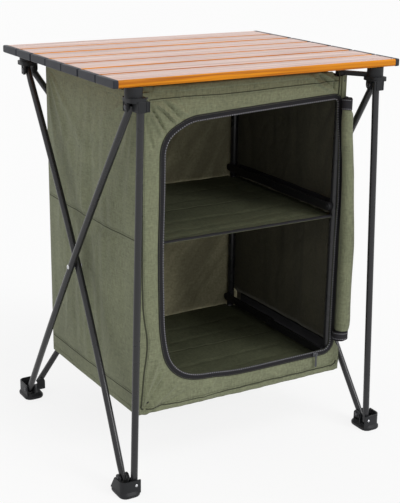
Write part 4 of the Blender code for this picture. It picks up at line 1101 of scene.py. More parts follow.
def seen_directly(add):
    """1 where a surface is seen by the camera, in gloss or through glass, 0 where it only gives light."""
    path = add("ShaderNodeLightPath").outputs
    seen = add(MATH, {0: path["Is Camera Ray"], 1: path["Is Glossy Ray"]}, operation="MAXIMUM")
    return add(MATH, {0: seen, 1: path["Is Transmission Ray"]}, operation="MAXIMUM")


def make_world():
    """A plain white surround that lights the object, and shows as white to the camera and to gloss."""
    world = bpy.data.worlds.new("white_surround")
    bpy.context.scene.world = world
    world.use_nodes = True
    world.node_tree.nodes.clear()
    add = partial(add_node, world.node_tree)
    light = add("ShaderNodeBackground", {"Color": WHITE, "Strength": 0.57})
    shown = add("ShaderNodeBackground", {"Color": WHITE, "Strength": 1.0})
    mix = add("ShaderNodeMixShader", {0: seen_directly(add), 1: light, 2: shown})
    add("ShaderNodeOutputWorld", {0: mix})


def make_floor():
    """A pale floor that stays white to the camera but keeps a soft shadow."""
    material = bpy.data.materials.new("pale_floor")
    material.use_nodes = True
    material.node_tree.nodes.clear()
    add = partial(add_node, material.node_tree)
    share = add(MATH, {0: seen_directly(add), 1: 0.84}, operation="MULTIPLY")
    matt = add("ShaderNodeBsdfDiffuse", {"Color": PALE_GREY})
    glow = add("ShaderNodeEmission", {"Color": WHITE, "Strength": 1.0})
    mix = add("ShaderNodeMixShader", {0: share, 1: matt, 2: glow})
    add("ShaderNodeOutputMaterial", {0: mix})
    mesh = bpy.data.meshes.new("floor")
    reach = 12.0
    corners = [(-reach, -reach, 0.0), (reach, -reach, 0.0), (reach, reach, 0.0), (-reach, reach, 0.0)]
    mesh.from_pydata(corners, [], [(0, 1, 2, 3)])
    mesh.materials.append(material)
    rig.stage(link("floor", mesh))


def add_sun(name, azimuth, elevation, strength, softness):
    """A soft distant lamp that shines from an azimuth and an elevation."""
    lamp = bpy.data.lights.new(name, "SUN")
    lamp.energy = strength
    lamp.angle = math.radians(softness)
    turn = math.radians(azimuth)
    rise = math.radians(elevation)
    source = Vector((math.sin(turn) * math.cos(rise), -math.cos(turn) * math.cos(rise), math.sin(rise)))
    link(name, lamp).rotation_euler = source.to_track_quat("Z", "Y").to_euler()


class CUPBOARD_OT_stage(bpy.types.Operator):
    """Set the floor, the surround, the lamps and the camera that matches the photograph"""

    bl_idname = "cupboard.stage"
    bl_label = "Stage"

    def execute(self, context):
        scene = context.scene
        scene.view_settings.view_transform = "Standard"
        make_world()
        make_floor()
        add_sun("key_lamp", azimuth=26.0, elevation=27.0, strength=1.12, softness=22.0)
        add_sun("upper_lamp", azimuth=12.0, elevation=62.0, strength=0.42, softness=24.0)
        add_sun("raking_lamp", azimuth=-140.0, elevation=25.0, strength=0.22, softness=20.0)
        camera = bpy.data.cameras.new("photo_camera")
        camera.sensor_width = SENSOR_MM
        # The sensor's width is laid along the picture's long side.
        camera.lens = FOCAL_PIXELS / max(PHOTO_WIDTH, PHOTO_HEIGHT) * SENSOR_MM
        scene.camera = link("photo_camera", camera)
        scene.camera.matrix_world = camera_matrix()
        make_finishes(scene.cupboard.colours)
        return {"FINISHED"}


# Tubes, rivets, corner fittings and feet
def bowed(top, bottom, sideways, bow, overrun):
    """Points along a tube that runs a little past both pivots and bows sideways between them."""
    steps = 22
    start = Vector(top)
    run = Vector(bottom) - start
    past = overrun / run.length
    points = []
    for step in range(steps + 1):
        share = -past + (1 + 2 * past) * step / steps
        swing = bow * math.sin(math.pi * min(max(share, 0.0), 1.0))
        points.append(start + share * run + swing * Vector(sideways))
    return points


class CUPBOARD_OT_tubes(bpy.types.Operator):
    """Build the crossed tubes, the front legs and the posts"""

    bl_idname = "cupboard.tubes"
    bl_label = "Tubes"

    def execute(self, context):
        sizes = context.scene.cupboard.frame_sizes
        for node, body, points, pin, radius, flattened in tube_lines(sizes):
            piece = link(f"{node}_tube", lathe_tube(points, pin, radius, flattened), "powder_coated_tube")
            settle(piece, "black_tube", body, node)
        return {"FINISHED"}


def tube_lines(sizes):
    """For each tube: its node, body, line, the way of its pins, its radius and its pressed ends."""
    rows = []
    for side_name, side in SIDES:
        for kind, end, bow in (("inner", 1, -sizes.bow_in), ("outer", -1, sizes.bow_out)):
            top = (side * SIDE_X_TOP, end * SIDE_Y, HUB_PIVOT_Z)
            foot = (side * SIDE_X_FOOT, -end * SIDE_Y, FOOT_PIVOT_Z)
            line = bowed(top, foot, (side, 0.0, 0.0), bow, sizes.overrun)
            rows.append((f"brace_{side_name}_{kind}", f"{side_name}_{kind}_brace", line, (1, 0, 0)))
    for kind, end, bow in (("outer", -1, sizes.bow_out), ("inner", 1, -sizes.bow_in)):
        top = (end * BACK_X, BACK_Y_TOP, HUB_PIVOT_Z)
        foot = (-end * BACK_X, BACK_Y_FOOT, FOOT_PIVOT_Z)
        line = bowed(top, foot, (0.0, 1.0, 0.0), bow, sizes.overrun)
        rows.append((f"brace_back_{kind}", f"back_{kind}_brace", line, (0, 1, 0)))
    rows = [(*row, sizes.brace_radius, (True, True)) for row in rows]
    for side_name, side in SIDES:
        rows.append((f"leg_front_{side_name}", f"front_{side_name}_leg", leg_line(side), (0, 1, 0),
                     sizes.brace_radius, (False, True)))
        for end_name, depth in (("front", -POST_FRONT_Y), ("rear", POST_REAR_Y)):
            heights = even_steps(POST_TOP_Z, POST_FOOT_Z, 6)
            line = [Vector((side * POST_X, depth, height)) for height in heights]
            rows.append((f"post_{end_name}_{side_name}", f"{end_name}_{side_name}_hub", line, (0, 1, 0),
                         sizes.post_radius, (False, False)))
    return rows


def leg_line(side):
    """Points down a front leg."""
    points = []
    for height in even_steps(LEG_TOP_Z, FOOT_PIVOT_Z - 0.005, 8):
        drop = (HUB_PIVOT_Z - height) / (HUB_PIVOT_Z - FOOT_PIVOT_Z)
        across = LEG_X_TOP + (LEG_X_FOOT - LEG_X_TOP) * drop
        depth = LEG_Y_TOP + (LEG_Y_FOOT - LEG_Y_TOP) * drop
        points.append(Vector((side * across, -depth, height)))
    return points


class CUPBOARD_OT_fittings(bpy.types.Operator):
    """Build the corner fittings with their ribs, and the feet"""

    bl_idname = "cupboard.fittings"
    bl_label = "Corner fittings and feet"

    def execute(self, context):
        for corner, side, end in CORNERS:
            for name, part, width in (("corner_fitting", "hub", 0.0007), ("tube_foot", "foot", 0.0009)):
                cad_copy(f"{name}_{corner}", f"{part}_{corner}", width, "moulded_nylon", "black_plastic",
                         f"{corner}_{part}")
            add_ribs(corner, side, end)
        return {"FINISHED"}


def add_ribs(corner, side, end):
    """Moulded ribs down the outer faces of a fitting's ears, and a ribbed ear in front of each leg's clip."""
    body = f"{corner}_hub"
    sizes = (0.0012, 0.0022, 0.0021, 0.0026)
    nylon = ("moulded_nylon", "black_plastic")
    outer_x = side * (SIDE_X_TOP + 0.0100)
    lines = [[Vector((outer_x, end * SIDE_Y + shift, height)) for height in (0.7045, 0.7195)]
             for shift in (-0.0066, 0.0066)]
    row_of(f"fitting_ribs_{corner}", lines, Vector((side, 0, 0)), body, sizes, *nylon)
    if end > 0:
        return
    ear_y = -0.2490
    rib_y = -0.2514
    ear_line = [Vector((side * across, ear_y, 0.7135)) for across in (0.2363, 0.2593)]
    ear = swept(ear_line, FORWARDS, band_outline(0.0180, 0.0024))
    settle(link(f"front_ear_{corner}", ear, "moulded_nylon"), "black_plastic", body)
    lines = [[Vector((side * across, rib_y, height)) for height in (0.7055, 0.7215)]
             for across in (0.2375, 0.2425, 0.2582)]
    row_of(f"front_ear_ribs_{corner}", lines, FORWARDS, body, sizes, *nylon)


def two_heads(place, way, outer, inner):
    """The heads at both ends of a rivet along a way: for each its point and the way it faces."""
    x, y, z = place
    return [(Vector((x + way[0] * outer, y + way[1] * outer, z)), Vector(way)),
            (Vector((x - way[0] * inner, y - way[1] * inner, z)), -Vector(way))]


class CUPBOARD_OT_rivets(bpy.types.Operator):
    """Set the rivets' heads"""

    bl_idname = "cupboard.rivets"
    bl_label = "Rivets"

    def execute(self, context):
        sizes = context.scene.cupboard.frame_sizes
        middle_z = (HUB_PIVOT_Z + FOOT_PIVOT_Z) / 2
        side_x = (SIDE_X_TOP + SIDE_X_FOOT) / 2
        back_y = (BACK_Y_TOP + BACK_Y_FOOT) / 2
        near = sizes.bow_in + sizes.brace_radius
        far = sizes.bow_out + sizes.brace_radius
        reach = sizes.brace_radius + EAR_REACH
        # Each row ends in shares of a rivet's usual radius and height.
        rows = []
        for side_name, side in SIDES:
            heads = two_heads((side * side_x, 0, middle_z), (side, 0, 0), far, near)
            rows.append(("cross", side_name, f"{side_name}_outer_brace", heads, 1.0, 1.0))
            heads = two_heads((side * LEG_X_FOOT, -LEG_Y_FOOT, FOOT_PIVOT_Z), (0, -1, 0), reach, reach)
            rows.append(("leg", side_name, f"front_{side_name}_foot", heads, 0.62, 0.6))
        heads = two_heads((0, back_y, middle_z), (0, 1, 0), far, near)
        rows.append(("cross", "back", "back_outer_brace", heads, 1.0, 1.0))
        for kind, place, body, heads, wide, high in rows:
            rivet_heads(f"{kind}_rivet_{place}", heads, body, sizes.rivet_radius * wide,
                        sizes.rivet_height * high, "nickel_rivet", f"rivet_{kind}_{place}")
        self.pivot_heads(sizes, reach)
        return {"FINISHED"}

    def pivot_heads(self, sizes, reach):
        """Heads on the ears of the corner fittings and the feet."""
        pivots = (("hub", SIDE_X_TOP, HUB_PIVOT_Z), ("foot", SIDE_X_FOOT, FOOT_PIVOT_Z))
        radius = sizes.rivet_radius * 1.03
        for corner, side, end in CORNERS:
            for part, across, level in pivots:
                heads = two_heads((side * across, end * SIDE_Y, level), (side, 0, 0), reach, reach)
                if part == "hub" and end > 0:
                    heads.append((Vector((side * BACK_X, BACK_Y_TOP + reach, level)), Vector((0, 1, 0))))
                rivet_heads(f"pivot_rivet_{part}_{corner}", heads, f"{corner}_{part}", radius,
                            sizes.rivet_height, "black_oxide_rivet")


class CUPBOARD_OT_side_bars(bpy.types.Operator):
    """Build the folding bars that carry the shelf and the floor"""

    bl_idname = "cupboard.side_bars"
    bl_label = "Side bars"

    def execute(self, context):
        for side_name, _ in SIDES:
            for level in ("shelf", "floor"):
                for end_name, _ in ENDS:
                    node = f"bar_{side_name}_{level}_{end_name}"
                    cad_copy(f"half_{node}", node, 0.0006, "painted_side_bar", "side_bar",
                             f"{side_name}_{level}_bar_{end_name}")
        return {"FINISHED"}


# Slatted top
def rounded_rectangle(half, low, high, radius):
    """An upright rounded rectangle's outline as (y, z), from its lower right corner up and round."""
    outline = []
    for y, z, start in ((half - radius, low + radius, -0.5), (half - radius, high - radius, 0.0),
                        (-half + radius, high - radius, 0.5), (-half + radius, low + radius, 1.0)):
        for step in range(5):
            turn = math.pi * (start + step / 8)
            outline.append((y + radius * math.cos(turn), z + radius * math.sin(turn)))
    return outline


def slat_mesh(middle_y, depth, radius, reach):
    """A slat's extrusion along X; its flat top takes the first finish and its edges the second."""
    top = TABLE_TOP_Z - CAP_PROUD
    outline = rounded_rectangle(depth / 2, TABLE_UNDERSIDE_Z + CAP_PROUD, top, radius)
    # Two fine grooves run along the top, after the points of the first two corners.
    grooves = [(groove * depth / 2 + shift, top - drop) for groove in (0.62, -0.62)
               for shift, drop in ((0.0016, 0.0), (0.0006, 0.0005), (-0.0006, 0.0005), (-0.0016, 0.0))]
    outline[10:10] = grooves
    mesh = loft([[Vector((across, middle_y + y, z)) for y, z in outline] for across in (-reach, reach)], 50.0)
    flat_reach = depth / 2 - radius + 0.00001
    kinds = []
    for (y, z), (beside_y, _) in zip(outline, outline[1:] + outline[:1]):
        on_top = max(abs(y), abs(beside_y)) < flat_reach and z > (TABLE_TOP_Z + TABLE_UNDERSIDE_Z) / 2
        kinds.append(0 if on_top else 1)
    mesh.polygons.foreach_set("material_index", kinds + [1, 1])
    return mesh


def cap_mesh(side, middle_y, depth, length):
    """A slat's moulded end cap: a rounded plug face with a thicker rim and a shoulder."""
    # Steps along the cap: where it stands from the outer end, and how far it is pulled in all round.
    steps = ((0.0, 0.0022), (0.0, 0.0014), (0.0006, 0.0005), (0.0016, 0.0), (length - 0.0022, 0.0),
             (length - 0.0012, 0.0004), (length - 0.0012, 0.0010), (length, 0.0010))
    rings = []
    for inward, inset in steps:
        low = TABLE_UNDERSIDE_Z + inset
        outline = rounded_rectangle(depth / 2 + CAP_PROUD - inset, low, TABLE_TOP_Z - inset, 0.0022)
        rings.append([Vector((side * (TABLE_HALF_WIDTH - inward), middle_y + y, z)) for y, z in outline])
    return loft(rings, 50.0)


class CUPBOARD_OT_slats(bpy.types.Operator):
    """Build the seven slats of the top with their end caps"""

    bl_idname = "cupboard.slats"
    bl_label = "Slatted top"

    def execute(self, context):
        sizes = context.scene.cupboard.top_sizes
        reach = TABLE_HALF_WIDTH - sizes.cap_length + 0.001
        for index in range(SLAT_COUNT):
            # The gaps after the second and the fifth slat from the rear are wider.
            front_cut = sizes.gap_cut if index in (1, 4) else 0.0
            rear_cut = sizes.gap_cut if index in (2, 5) else 0.0
            middle_y = SLAT_FIRST_Y - SLAT_PITCH * index + (front_cut - rear_cut) / 2
            depth = sizes.slat_depth - front_cut - rear_cut
            number = index + 1
            mesh = slat_mesh(middle_y, depth, sizes.edge_radius, reach)
            slat = link(f"slat_profile_{number}", mesh, "wood_print_face", "wood_print_edge")
            settle(slat, "slat", f"slat_{number}", f"table_slat_{number}")
            caps = join_meshes([cap_mesh(side, middle_y, depth, sizes.cap_length) for side in (-1, 1)])
            settle(link(f"slat_caps_{number}", caps, "moulded_end_cap"), "black_plastic", f"slat_{number}")
        return {"FINISHED"}


# Cloth

# place gives a wall's point from its run, height and relief, and low_edge its lower edge's height.
Wall = namedtuple("Wall", "name body crumple place width seed low_edge out")


def wall_relief(wall, along, z, sizes):
    """How far a wall stands out: a belly, soft upright folds, folds from its top corners, pinched seams."""
    share = along / wall.width
    seed = wall.seed
    up = share_of((z - 0.118) / (CLOTH_TOP_Z - 0.118))
    belly = math.sin(math.pi * share) ** 0.7 * math.sin(math.pi * up) ** 0.6
    upright = wander(along * 21, z * 2.6, seed) + 0.45 * wander(along * 47, z * 4.5, seed + 5.0)
    slant = 0.5 * wander(along * 12 + z * 9, z * 5 - along * 4, seed + 9.0)
    value = (sizes.swell + sizes.fold_depth * (0.5 + 0.62 * upright + 0.5 * slant)) * belly
    value += 0.0020 * ridged(13 * along + 6 * z, 7 * z - 4 * along, seed + 2.0) * belly
    value += 0.0010 * ridged(34 * along, 23 * z + 11 * along, seed + 6.0) * belly
    corner = 0.0030 * fan_of_folds(along, CLOTH_TOP_Z - z, (0.50, 0.95, 1.22, 1.42), 0.08, 0.070)
    corner += 0.0030 * fan_of_folds(wall.width - along, CLOTH_TOP_Z - z, (0.60, 0.92, 1.30), 0.08, 0.080)
    value += corner * smooth_step(min(share, 1 - share) * wall.width / 0.02)
    for level in (SHELF_Z, FLOOR_Z):
        value *= 1.0 - 0.45 * bump_at(z, level + 0.010, 0.012)
    return value


def columns_of(width, step):
    """Even places along a width, about a step apart."""
    return even_steps(0.0, width, max(1, round(width / step)))


def wall_sheet(wall, sizes):
    """One wall of the cupboard, as a sheet of coated cloth."""
    points = []
    flat = []
    rows = 176
    for step in range(rows + 1):
        places = []
        for run in columns_of(wall.width, 0.0031):
            low = wall.low_edge(run)
            places.append((run, low + (CLOTH_TOP_Z - low) * step / rows))
        points.append([Vector(wall.place(run, z, wall_relief(wall, run, z, sizes))) for run, z in places])
        flat.append(places)
    piece = link(f"cloth_wall_{wall.name}", sheet_mesh(points, flat, wall.out), "polyester_canvas")
    thicken(piece, sizes.thickness, "daylit_canvas_back" if wall.name == "back" else "coated_canvas_back")
    return settle(piece, "olive_cloth", wall.body, f"wall_{wall.name}", wall.crumple)


def side_place(side):
    """Where a side wall's point lies, from its run along the depth."""
    def place(run, z, out):
        flare = right_flare(z) if side > 0 else 0.0
        return (side * (WALL_FACE_X + flare + out), WALL_FRONT_Y + run, z)
    return place


def back_place(run, z, out):
    """Where the back wall's point lies, from its run along the width."""
    x = run - WALL_FACE_X
    if x > 0:
        x += right_flare(z) * x / WALL_FACE_X
    return (x, BACK_FACE_Y + out, z)


def wall_line(wall, sizes, rise, lift, margin=0.002):
    """Points along a wall at the height that rise gives for each place, lifted off its cloth."""
    points = []
    for run in columns_of(wall.width - 2 * margin, 0.006):
        run += margin
        z = rise(run)
        points.append(Vector(wall.place(run, z, wall_relief(wall, run, z, sizes) + lift)))
    return points


def stitch_sizes(sizes):
    """The spacing, length, width and height of the cloth's stitches."""
    return sizes.stitch_spacing, sizes.stitch_length, 0.0009, 0.0007


def wall_trims(wall, sizes):
    """A wall's seam lines, stitches and hems, and at the sides the sleeves of its bars."""
    made = []
    stitch = stitch_sizes(sizes)
    for label, height, fall in (("shelf", 0.4600, 0.003), ("floor", 0.1560, 0.009)):
        seam = wall_line(wall, sizes, lambda run: height - fall * (run / wall.width), 0.0)
        mesh = swept(seam, wall.out, round_outline(sizes.seam_radius, 8))
        made.append(link(f"wall_seam_{wall.name}_{label}", mesh, "seam_shadow_canvas"))
        line = wall_line(wall, sizes, lambda run: height - fall * (run / wall.width) + 0.0045, 0.0006)
        made.append(row_of(f"wall_stitches_{wall.name}_{label}", [line], wall.out, wall.body, stitch,
                           "bonded_thread", "olive_cloth"))
    for name, rise, band in (("hem", lambda run: wall.low_edge(run) + 0.0050, band_outline(0.0105, 0.0013)),
                             ("top_hem", lambda run: CLOTH_TOP_Z - 0.0070, band_outline(0.0125, 0.0012))):
        mesh = swept(wall_line(wall, sizes, rise, 0.0), wall.out, band)
        made.append(link(f"wall_{name}_{wall.name}", mesh, "polyester_canvas"))
    for piece in made:
        settle(piece, "olive_cloth", wall.body, None, wall.crumple)
    if wall.name != "back":
        for label, level in (("shelf", SHELF_Z), ("floor", FLOOR_Z)):
            line = wall_line(wall, sizes, lambda run: level + 0.013, -0.0012, 0.021)
            mesh = swept(line, -wall.out, band_outline(0.026, 0.0026))
            sleeve = link(f"bar_sleeve_{wall.name}_{label}", mesh, "grosgrain_binding")
            made.append(settle(sleeve, "webbing", wall.body, None, wall.crumple))
    return made


class CUPBOARD_OT_walls(bpy.types.Operator):
    """Build the side walls and the back of the cloth cupboard, with their seams"""

    bl_idname = "cupboard.walls"
    bl_label = "Cloth walls"

    def execute(self, context):
        sizes = context.scene.cupboard.cloth_sizes
        for (side_name, side), seed in zip(SIDES, (2.3, 14.9)):
            wall = Wall(side_name, f"rear_{side_name}_hub", CRUMPLE_DEPTH, side_place(side),
                        WALL_REAR_Y - WALL_FRONT_Y, seed, lambda run: side_bottom_z(WALL_FRONT_Y + run),
                        Vector((side, 0, 0)))
            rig.sheet(wall_sheet(wall, sizes), flat=(0.400, 0.615), held="hung",
                     rests_on=[f"post_front_{side_name}"], with_pieces=wall_trims(wall, sizes))
        wall = Wall("back", "rear_left_hub", CRUMPLE_WIDTH, back_place, 2 * WALL_FACE_X, 31.7,
                    lambda run: side_bottom_z(WALL_REAR_Y), Vector((0, 1, 0)))
        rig.sheet(wall_sheet(wall, sizes), flat=(0.468, 0.618), held="hung", rests_on=["post_rear_left"],
                 with_pieces=wall_trims(wall, sizes))
        return {"FINISHED"}


def panel_grid(step, rings):
    """Rows of points from the opening's edge out to the panel's edge, as (x, z)."""
    rays = [(x, z, *outer_end(x, z)) for x, z in opening_outline(0.0, step)]
    # The ray that is nearest to each corner of the panel ends right on it.
    for _, (centre_x, centre_z), radius, inward_x, inward_z in OPENING_CORNERS:
        corner_x = -inward_x * WALL_FACE_X
        if corner_x > 0:
            corner_x += right_flare(1.0 if inward_z < 0 else 0.0)
        corner_z = CLOTH_TOP_Z if inward_z < 0 else bottom_z(corner_x)
        turn = math.atan2(corner_z - centre_z, corner_x - centre_x)
        x = centre_x + radius * math.cos(turn)
        z = centre_z + radius * math.sin(turn)
        best = min(range(len(rays)), key=lambda index: math.dist(rays[index][:2], (x, z)))
        rays[best] = (x, z, corner_x, corner_z)
    return [[(x + share * (out_x - x), z + share * (out_z - z)) for x, z, out_x, out_z in rays]
            for share in even_steps(0.0, 1.0, rings)]


def outer_end(x, z):
    """Where a ray from the opening's edge meets the panel's edge."""
    way_x = 0.0
    way_z = 0.0
    for _, (centre_x, centre_z), _, inward_x, inward_z in OPENING_CORNERS:
        if (x - centre_x) * inward_x <= 1e-9 and (z - centre_z) * inward_z <= 1e-9:
            way_x = x - centre_x
            way_z = z - centre_z
    if not way_x and not way_z:
        if abs(x - OPENING_LOW[0]) < 1e-6:
            way_x = -1.0
        elif abs(x - OPENING_HIGH[0]) < 1e-6:
            way_x = 1.0
        else:
            way_z = 1.0 if z > 0.4 else -1.0
    # The panel's edges aren't straight, so the ray's end is found by steps.
    reach = 0.0
    for _ in range(3):
        out_x = x + min(reach, 1.0) * way_x
        right = WALL_FACE_X + right_flare(z + reach * way_z)
        options = []
        if abs(way_x) > 1e-9:
            options.append(((right if way_x > 0 else -WALL_FACE_X) - x) / way_x)
        if abs(way_z) > 1e-9:
            options.append(((cloth_top(out_x) if way_z > 0 else bottom_z(out_x)) - z) / way_z)
        reach = min(options)
    return x + reach * way_x, z + reach * way_z


def on_front(points, lift):
    """Points of the front's pattern, given as (x, z), set on its cloth as it is sewn."""
    placed = []
    for x, z in points:
        across, up = sewn_shift(x, z)
        placed.append(Vector((x + across, front_y(x, z, lift), z + up)))
    return placed


def seam_corner(centre_x, centre_z, radius, start):
    """The points of a seam's rounded corner, within a quarter turn from start."""
    turns = [start + 0.5 * math.pi * step / 6 for step in range(1, 6)]
    return [(centre_x + radius * math.cos(turn), centre_z + radius * math.sin(turn)) for turn in turns]


def seam_route(inset):
    """The seam inside the panel's upper, left and lower edges, traced from the photograph, in (x, z)."""
    low = 0.1290 + inset
    top = 0.7115 - inset
    left = -0.2165 + inset
    right = 0.2330 - inset
    start_x = 0.203
    turn = 0.012
    route = []
    for step in range(25):
        x = start_x - (start_x - left - turn) * step / 24
        route.append((x, top + 0.0055 * smooth_step(x / 0.2) + 0.0008 * math.sin(30 * x)))
    route += seam_corner(left + turn, top - turn, turn, 0.5 * math.pi)
    for step in range(41):
        z = top - turn - (top - low - 0.022) * step / 40
        sway = 0.0100 * bump_at(z, 0.262, 0.050) - 0.0045 * smooth_step((0.19 - z) / 0.06)
        route.append((left + sway + 0.0018 * wander(9 * z, 2.0, 4.4), z))
    left -= 0.0045
    route += seam_corner(left + 0.010, low + 0.010, 0.010, math.pi)
    for step in range(45):
        x = left + turn + (right - turn - left - turn) * step / 44
        route.append((x, low + 0.0009 * math.sin(21 * x)))
    route += seam_corner(right - turn, low + turn, turn, 1.5 * math.pi)
    return [pattern_place(x, z) for x, z in route]


def between(route, parts):
    """The same line of (x, z) points with more of them."""
    finer = []
    for (x, z), (after_x, after_z) in zip(route, route[1:]):
        for part in range(parts):
            finer.append((x + (after_x - x) * part / parts, z + (after_z - z) * part / parts))
    return finer + [route[-1]]


def front_strip(name, edge, row_height, low_x, high_x):
    """A turned hem along an edge of the front cloth, laid over its relief."""
    places = even_steps(low_x, high_x, 140)
    rows = [[(x, edge(x) + row_height * (0.05 + row)) for x in places] for row in range(4)]
    mesh = sheet_mesh([on_front(row, 0.0009) for row in rows], rows, FORWARDS)
    return thicken(link(name, mesh, "polyester_canvas"), 0.0010)


class CUPBOARD_OT_front(bpy.types.Operator):
    """Build the front of the cloth cupboard round its opening, with its seams"""

    bl_idname = "cupboard.front"
    bl_label = "Front cloth"

    def execute(self, context):
        sizes = context.scene.cupboard.cloth_sizes
        body = "front_left_hub"
        grid = [row + [row[0]] for row in panel_grid(0.0030, 34)]
        mesh = sheet_mesh([on_front(row, 0.0) for row in grid], grid, FORWARDS)
        reshaped(mesh, lambda shape: bmesh.ops.remove_doubles(shape, verts=shape.verts[:], dist=0.00001))
        panel = thicken(link("cloth_front", mesh, "polyester_canvas"), sizes.thickness, "coated_canvas_back")
        settle(panel, "olive_cloth", body, "front_panel", CRUMPLE_WIDTH)
        finer = 4

        def piping(index):
            # The piping is thicker down the left edge than along the top and the hem.
            share = 1.0 if index < 25 * finer else 1.8 if index < 75 * finer else 1.35
            return round_outline(sizes.seam_radius * share, 8)

        seam = swept(on_front(between(seam_route(0.0), finer), 0.0005), FORWARDS, piping)
        line = on_front(between(seam_route(0.0042), finer), 0.0006)
        made = [
            link("front_seam", seam, "seam_shadow_canvas"),
            row_of("front_stitches", [line], FORWARDS, body, stitch_sizes(sizes), "bonded_thread",
                   "olive_cloth"),
            front_strip("front_hem", bottom_z, 0.0032, -0.224, 0.240),
            front_strip("front_top_hem", cloth_top, -0.0034, -0.196, 0.196),
        ]
        for piece in made:
            settle(piece, "olive_cloth", body, None, CRUMPLE_WIDTH)
        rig.sheet(panel, flat=(0.470, 0.630), area=0.096, held="hung", rests_on=["post_front_left"],
                 with_pieces=made)
        return {"FINISHED"}


# Shelf, floor and ceiling
def level_relief(x, y, seed):
    """How far a shelf's cloth lies below its height: a slack middle and folds along its width."""
    slack = 0.0022 * math.cos(math.pi * x / 0.46) * (0.5 + 0.5 * wander(4 * x, 6 * y, seed))
    for place, depth in ((-0.142, 1.5), (-0.112, 0.9), (-0.062, 1.2), (0.055, 0.9), (0.120, 0.8)):
        sway = 0.010 * wander(5 * x, seed + 40 * place, 1.0)
        slack += 0.0016 * depth * bump_at(y, place + sway + 0.03 * x, 0.005)
    slack += 0.0010 * (1.0 + wander(26 * x, 19 * y, seed + 3.0)) + 0.0008 * ridged(22 * x, 15 * y, seed)
    return slack * smooth_step((y - WALL_FRONT_Y) / 0.010)


def depths_between(low_y, high_y, steps):
    """Even depths, and those at which the cuts round the posts end."""
    cuts = [cut for cut in POST_CUTS_Y if low_y < cut < high_y]
    places = sorted({*even_steps(low_y, high_y, steps), high_y, *cuts})
    return [place for index, place in enumerate(places) if index == 0 or place - places[index - 1] > 1e-6]


def notched_sheet(across, depths, height):
    """A level sheet over a grid of places, cut back round the posts."""
    points = [[Vector((x, y, height(x, y))) for x in across] for y in depths]
    flat = [[(x, y) for x in across] for y in depths]

    def kept(row, column):
        middle_x = (across[column] + across[column + 1]) / 2
        middle_y = (depths[row] + depths[row + 1]) / 2
        return abs(middle_x) < POST_CUT_X or POST_CUTS_Y[0] < middle_y < POST_CUTS_Y[1]

    def drop_loose(shape):
        unused = [vert for vert in shape.verts if not vert.link_faces]
        bmesh.ops.delete(shape, geom=unused, context="VERTS")

    return reshaped(sheet_mesh(points, flat, (0, 0, 1), kept), drop_loose)


class CUPBOARD_OT_levels(bpy.types.Operator):
    """Build the shelf and the floor, each in two folding halves, and the ceiling"""

    bl_idname = "cupboard.levels"
    bl_label = "Shelf, floor and ceiling"

    def execute(self, context):
        sizes = context.scene.cupboard.cloth_sizes
        across = sorted({-LEVEL_HALF_WIDTH, POST_CUT_X, LEVEL_HALF_WIDTH,
                         *even_steps(-POST_CUT_X, POST_CUT_X, 92)})
        for level, top_z, seed in (("shelf", SHELF_Z, 6.2), ("floor", FLOOR_Z, 18.8)):
            for end_name, low_y, high_y in (("rear", REAR_HALF_Y, WALL_REAR_Y),
                                            ("front", WALL_FRONT_Y, FRONT_HALF_Y)):
                body = f"left_{level}_bar_{end_name}"
                mesh = notched_sheet(across, depths_between(low_y, high_y, 46),
                                     lambda x, y: top_z - level_relief(x, y, seed))
                piece = thicken(link(f"{level}_cloth_{end_name}", mesh, "shelf_canvas"), sizes.thickness)
                settle(piece, "inner_cloth", body, f"{level}_{end_name}", CRUMPLE_WIDTH)
                trims = [self.front_binding(level, top_z, body, sizes)] if end_name == "front" else []
                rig.sheet(piece, flat=(0.452, 0.198), held="stretched",
                         rests_on=[f"bar_left_{level}_{end_name}"], with_pieces=trims)
        self.ceiling(sizes)
        return {"FINISHED"}

    def front_binding(self, level, top_z, body, sizes):
        """The grosgrain binding round a level's front edge."""
        reach = 0.2060
        edge_y = WALL_FRONT_Y + 0.0042
        points = [Vector((x, edge_y, top_z - 0.0010)) for x in even_steps(-reach, reach, 60)]

        def outline(index):
            droop = 0.0003 * math.sin(index * 0.7)
            return [(side, rise + droop) for side, rise in band_outline(sizes.binding_width, 0.0036)]

        band = link(f"{level}_binding", swept(points, (0, 0, 1), outline), "grosgrain_binding")
        return settle(band, "webbing", body, None, CRUMPLE_WIDTH)

    def ceiling(self, sizes):
        """The ceiling in two strips, one on each side's rear corner, so that they part as the frame folds."""

        def height(x, y):
            return CEILING_Z - 0.0009 - 0.0008 * (1 + wander(16 * x, 13 * y, 44.0))

        # Its front edge stays clear of the front cloth's deepest creases.
        depths = depths_between(WALL_FRONT_Y + 0.0055, WALL_REAR_Y, 60)
        for side_name, side in SIDES:
            low_x, high_x = sorted((side * 0.001, side * LEVEL_HALF_WIDTH))
            across = sorted({*even_steps(low_x, high_x, 40), side * POST_CUT_X})
            mesh = notched_sheet(across, depths, height)
            piece = thicken(link(f"ceiling_cloth_{side_name}", mesh, "coated_canvas_back"), sizes.thickness)
            settle(piece, "inner_cloth", f"rear_{side_name}_hub", "ceiling" if side_name == "left" else None,
                   CRUMPLE_DEPTH)
            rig.sheet(piece, flat=(0.226, 0.390), held="stretched", rests_on=[f"post_rear_{side_name}"])


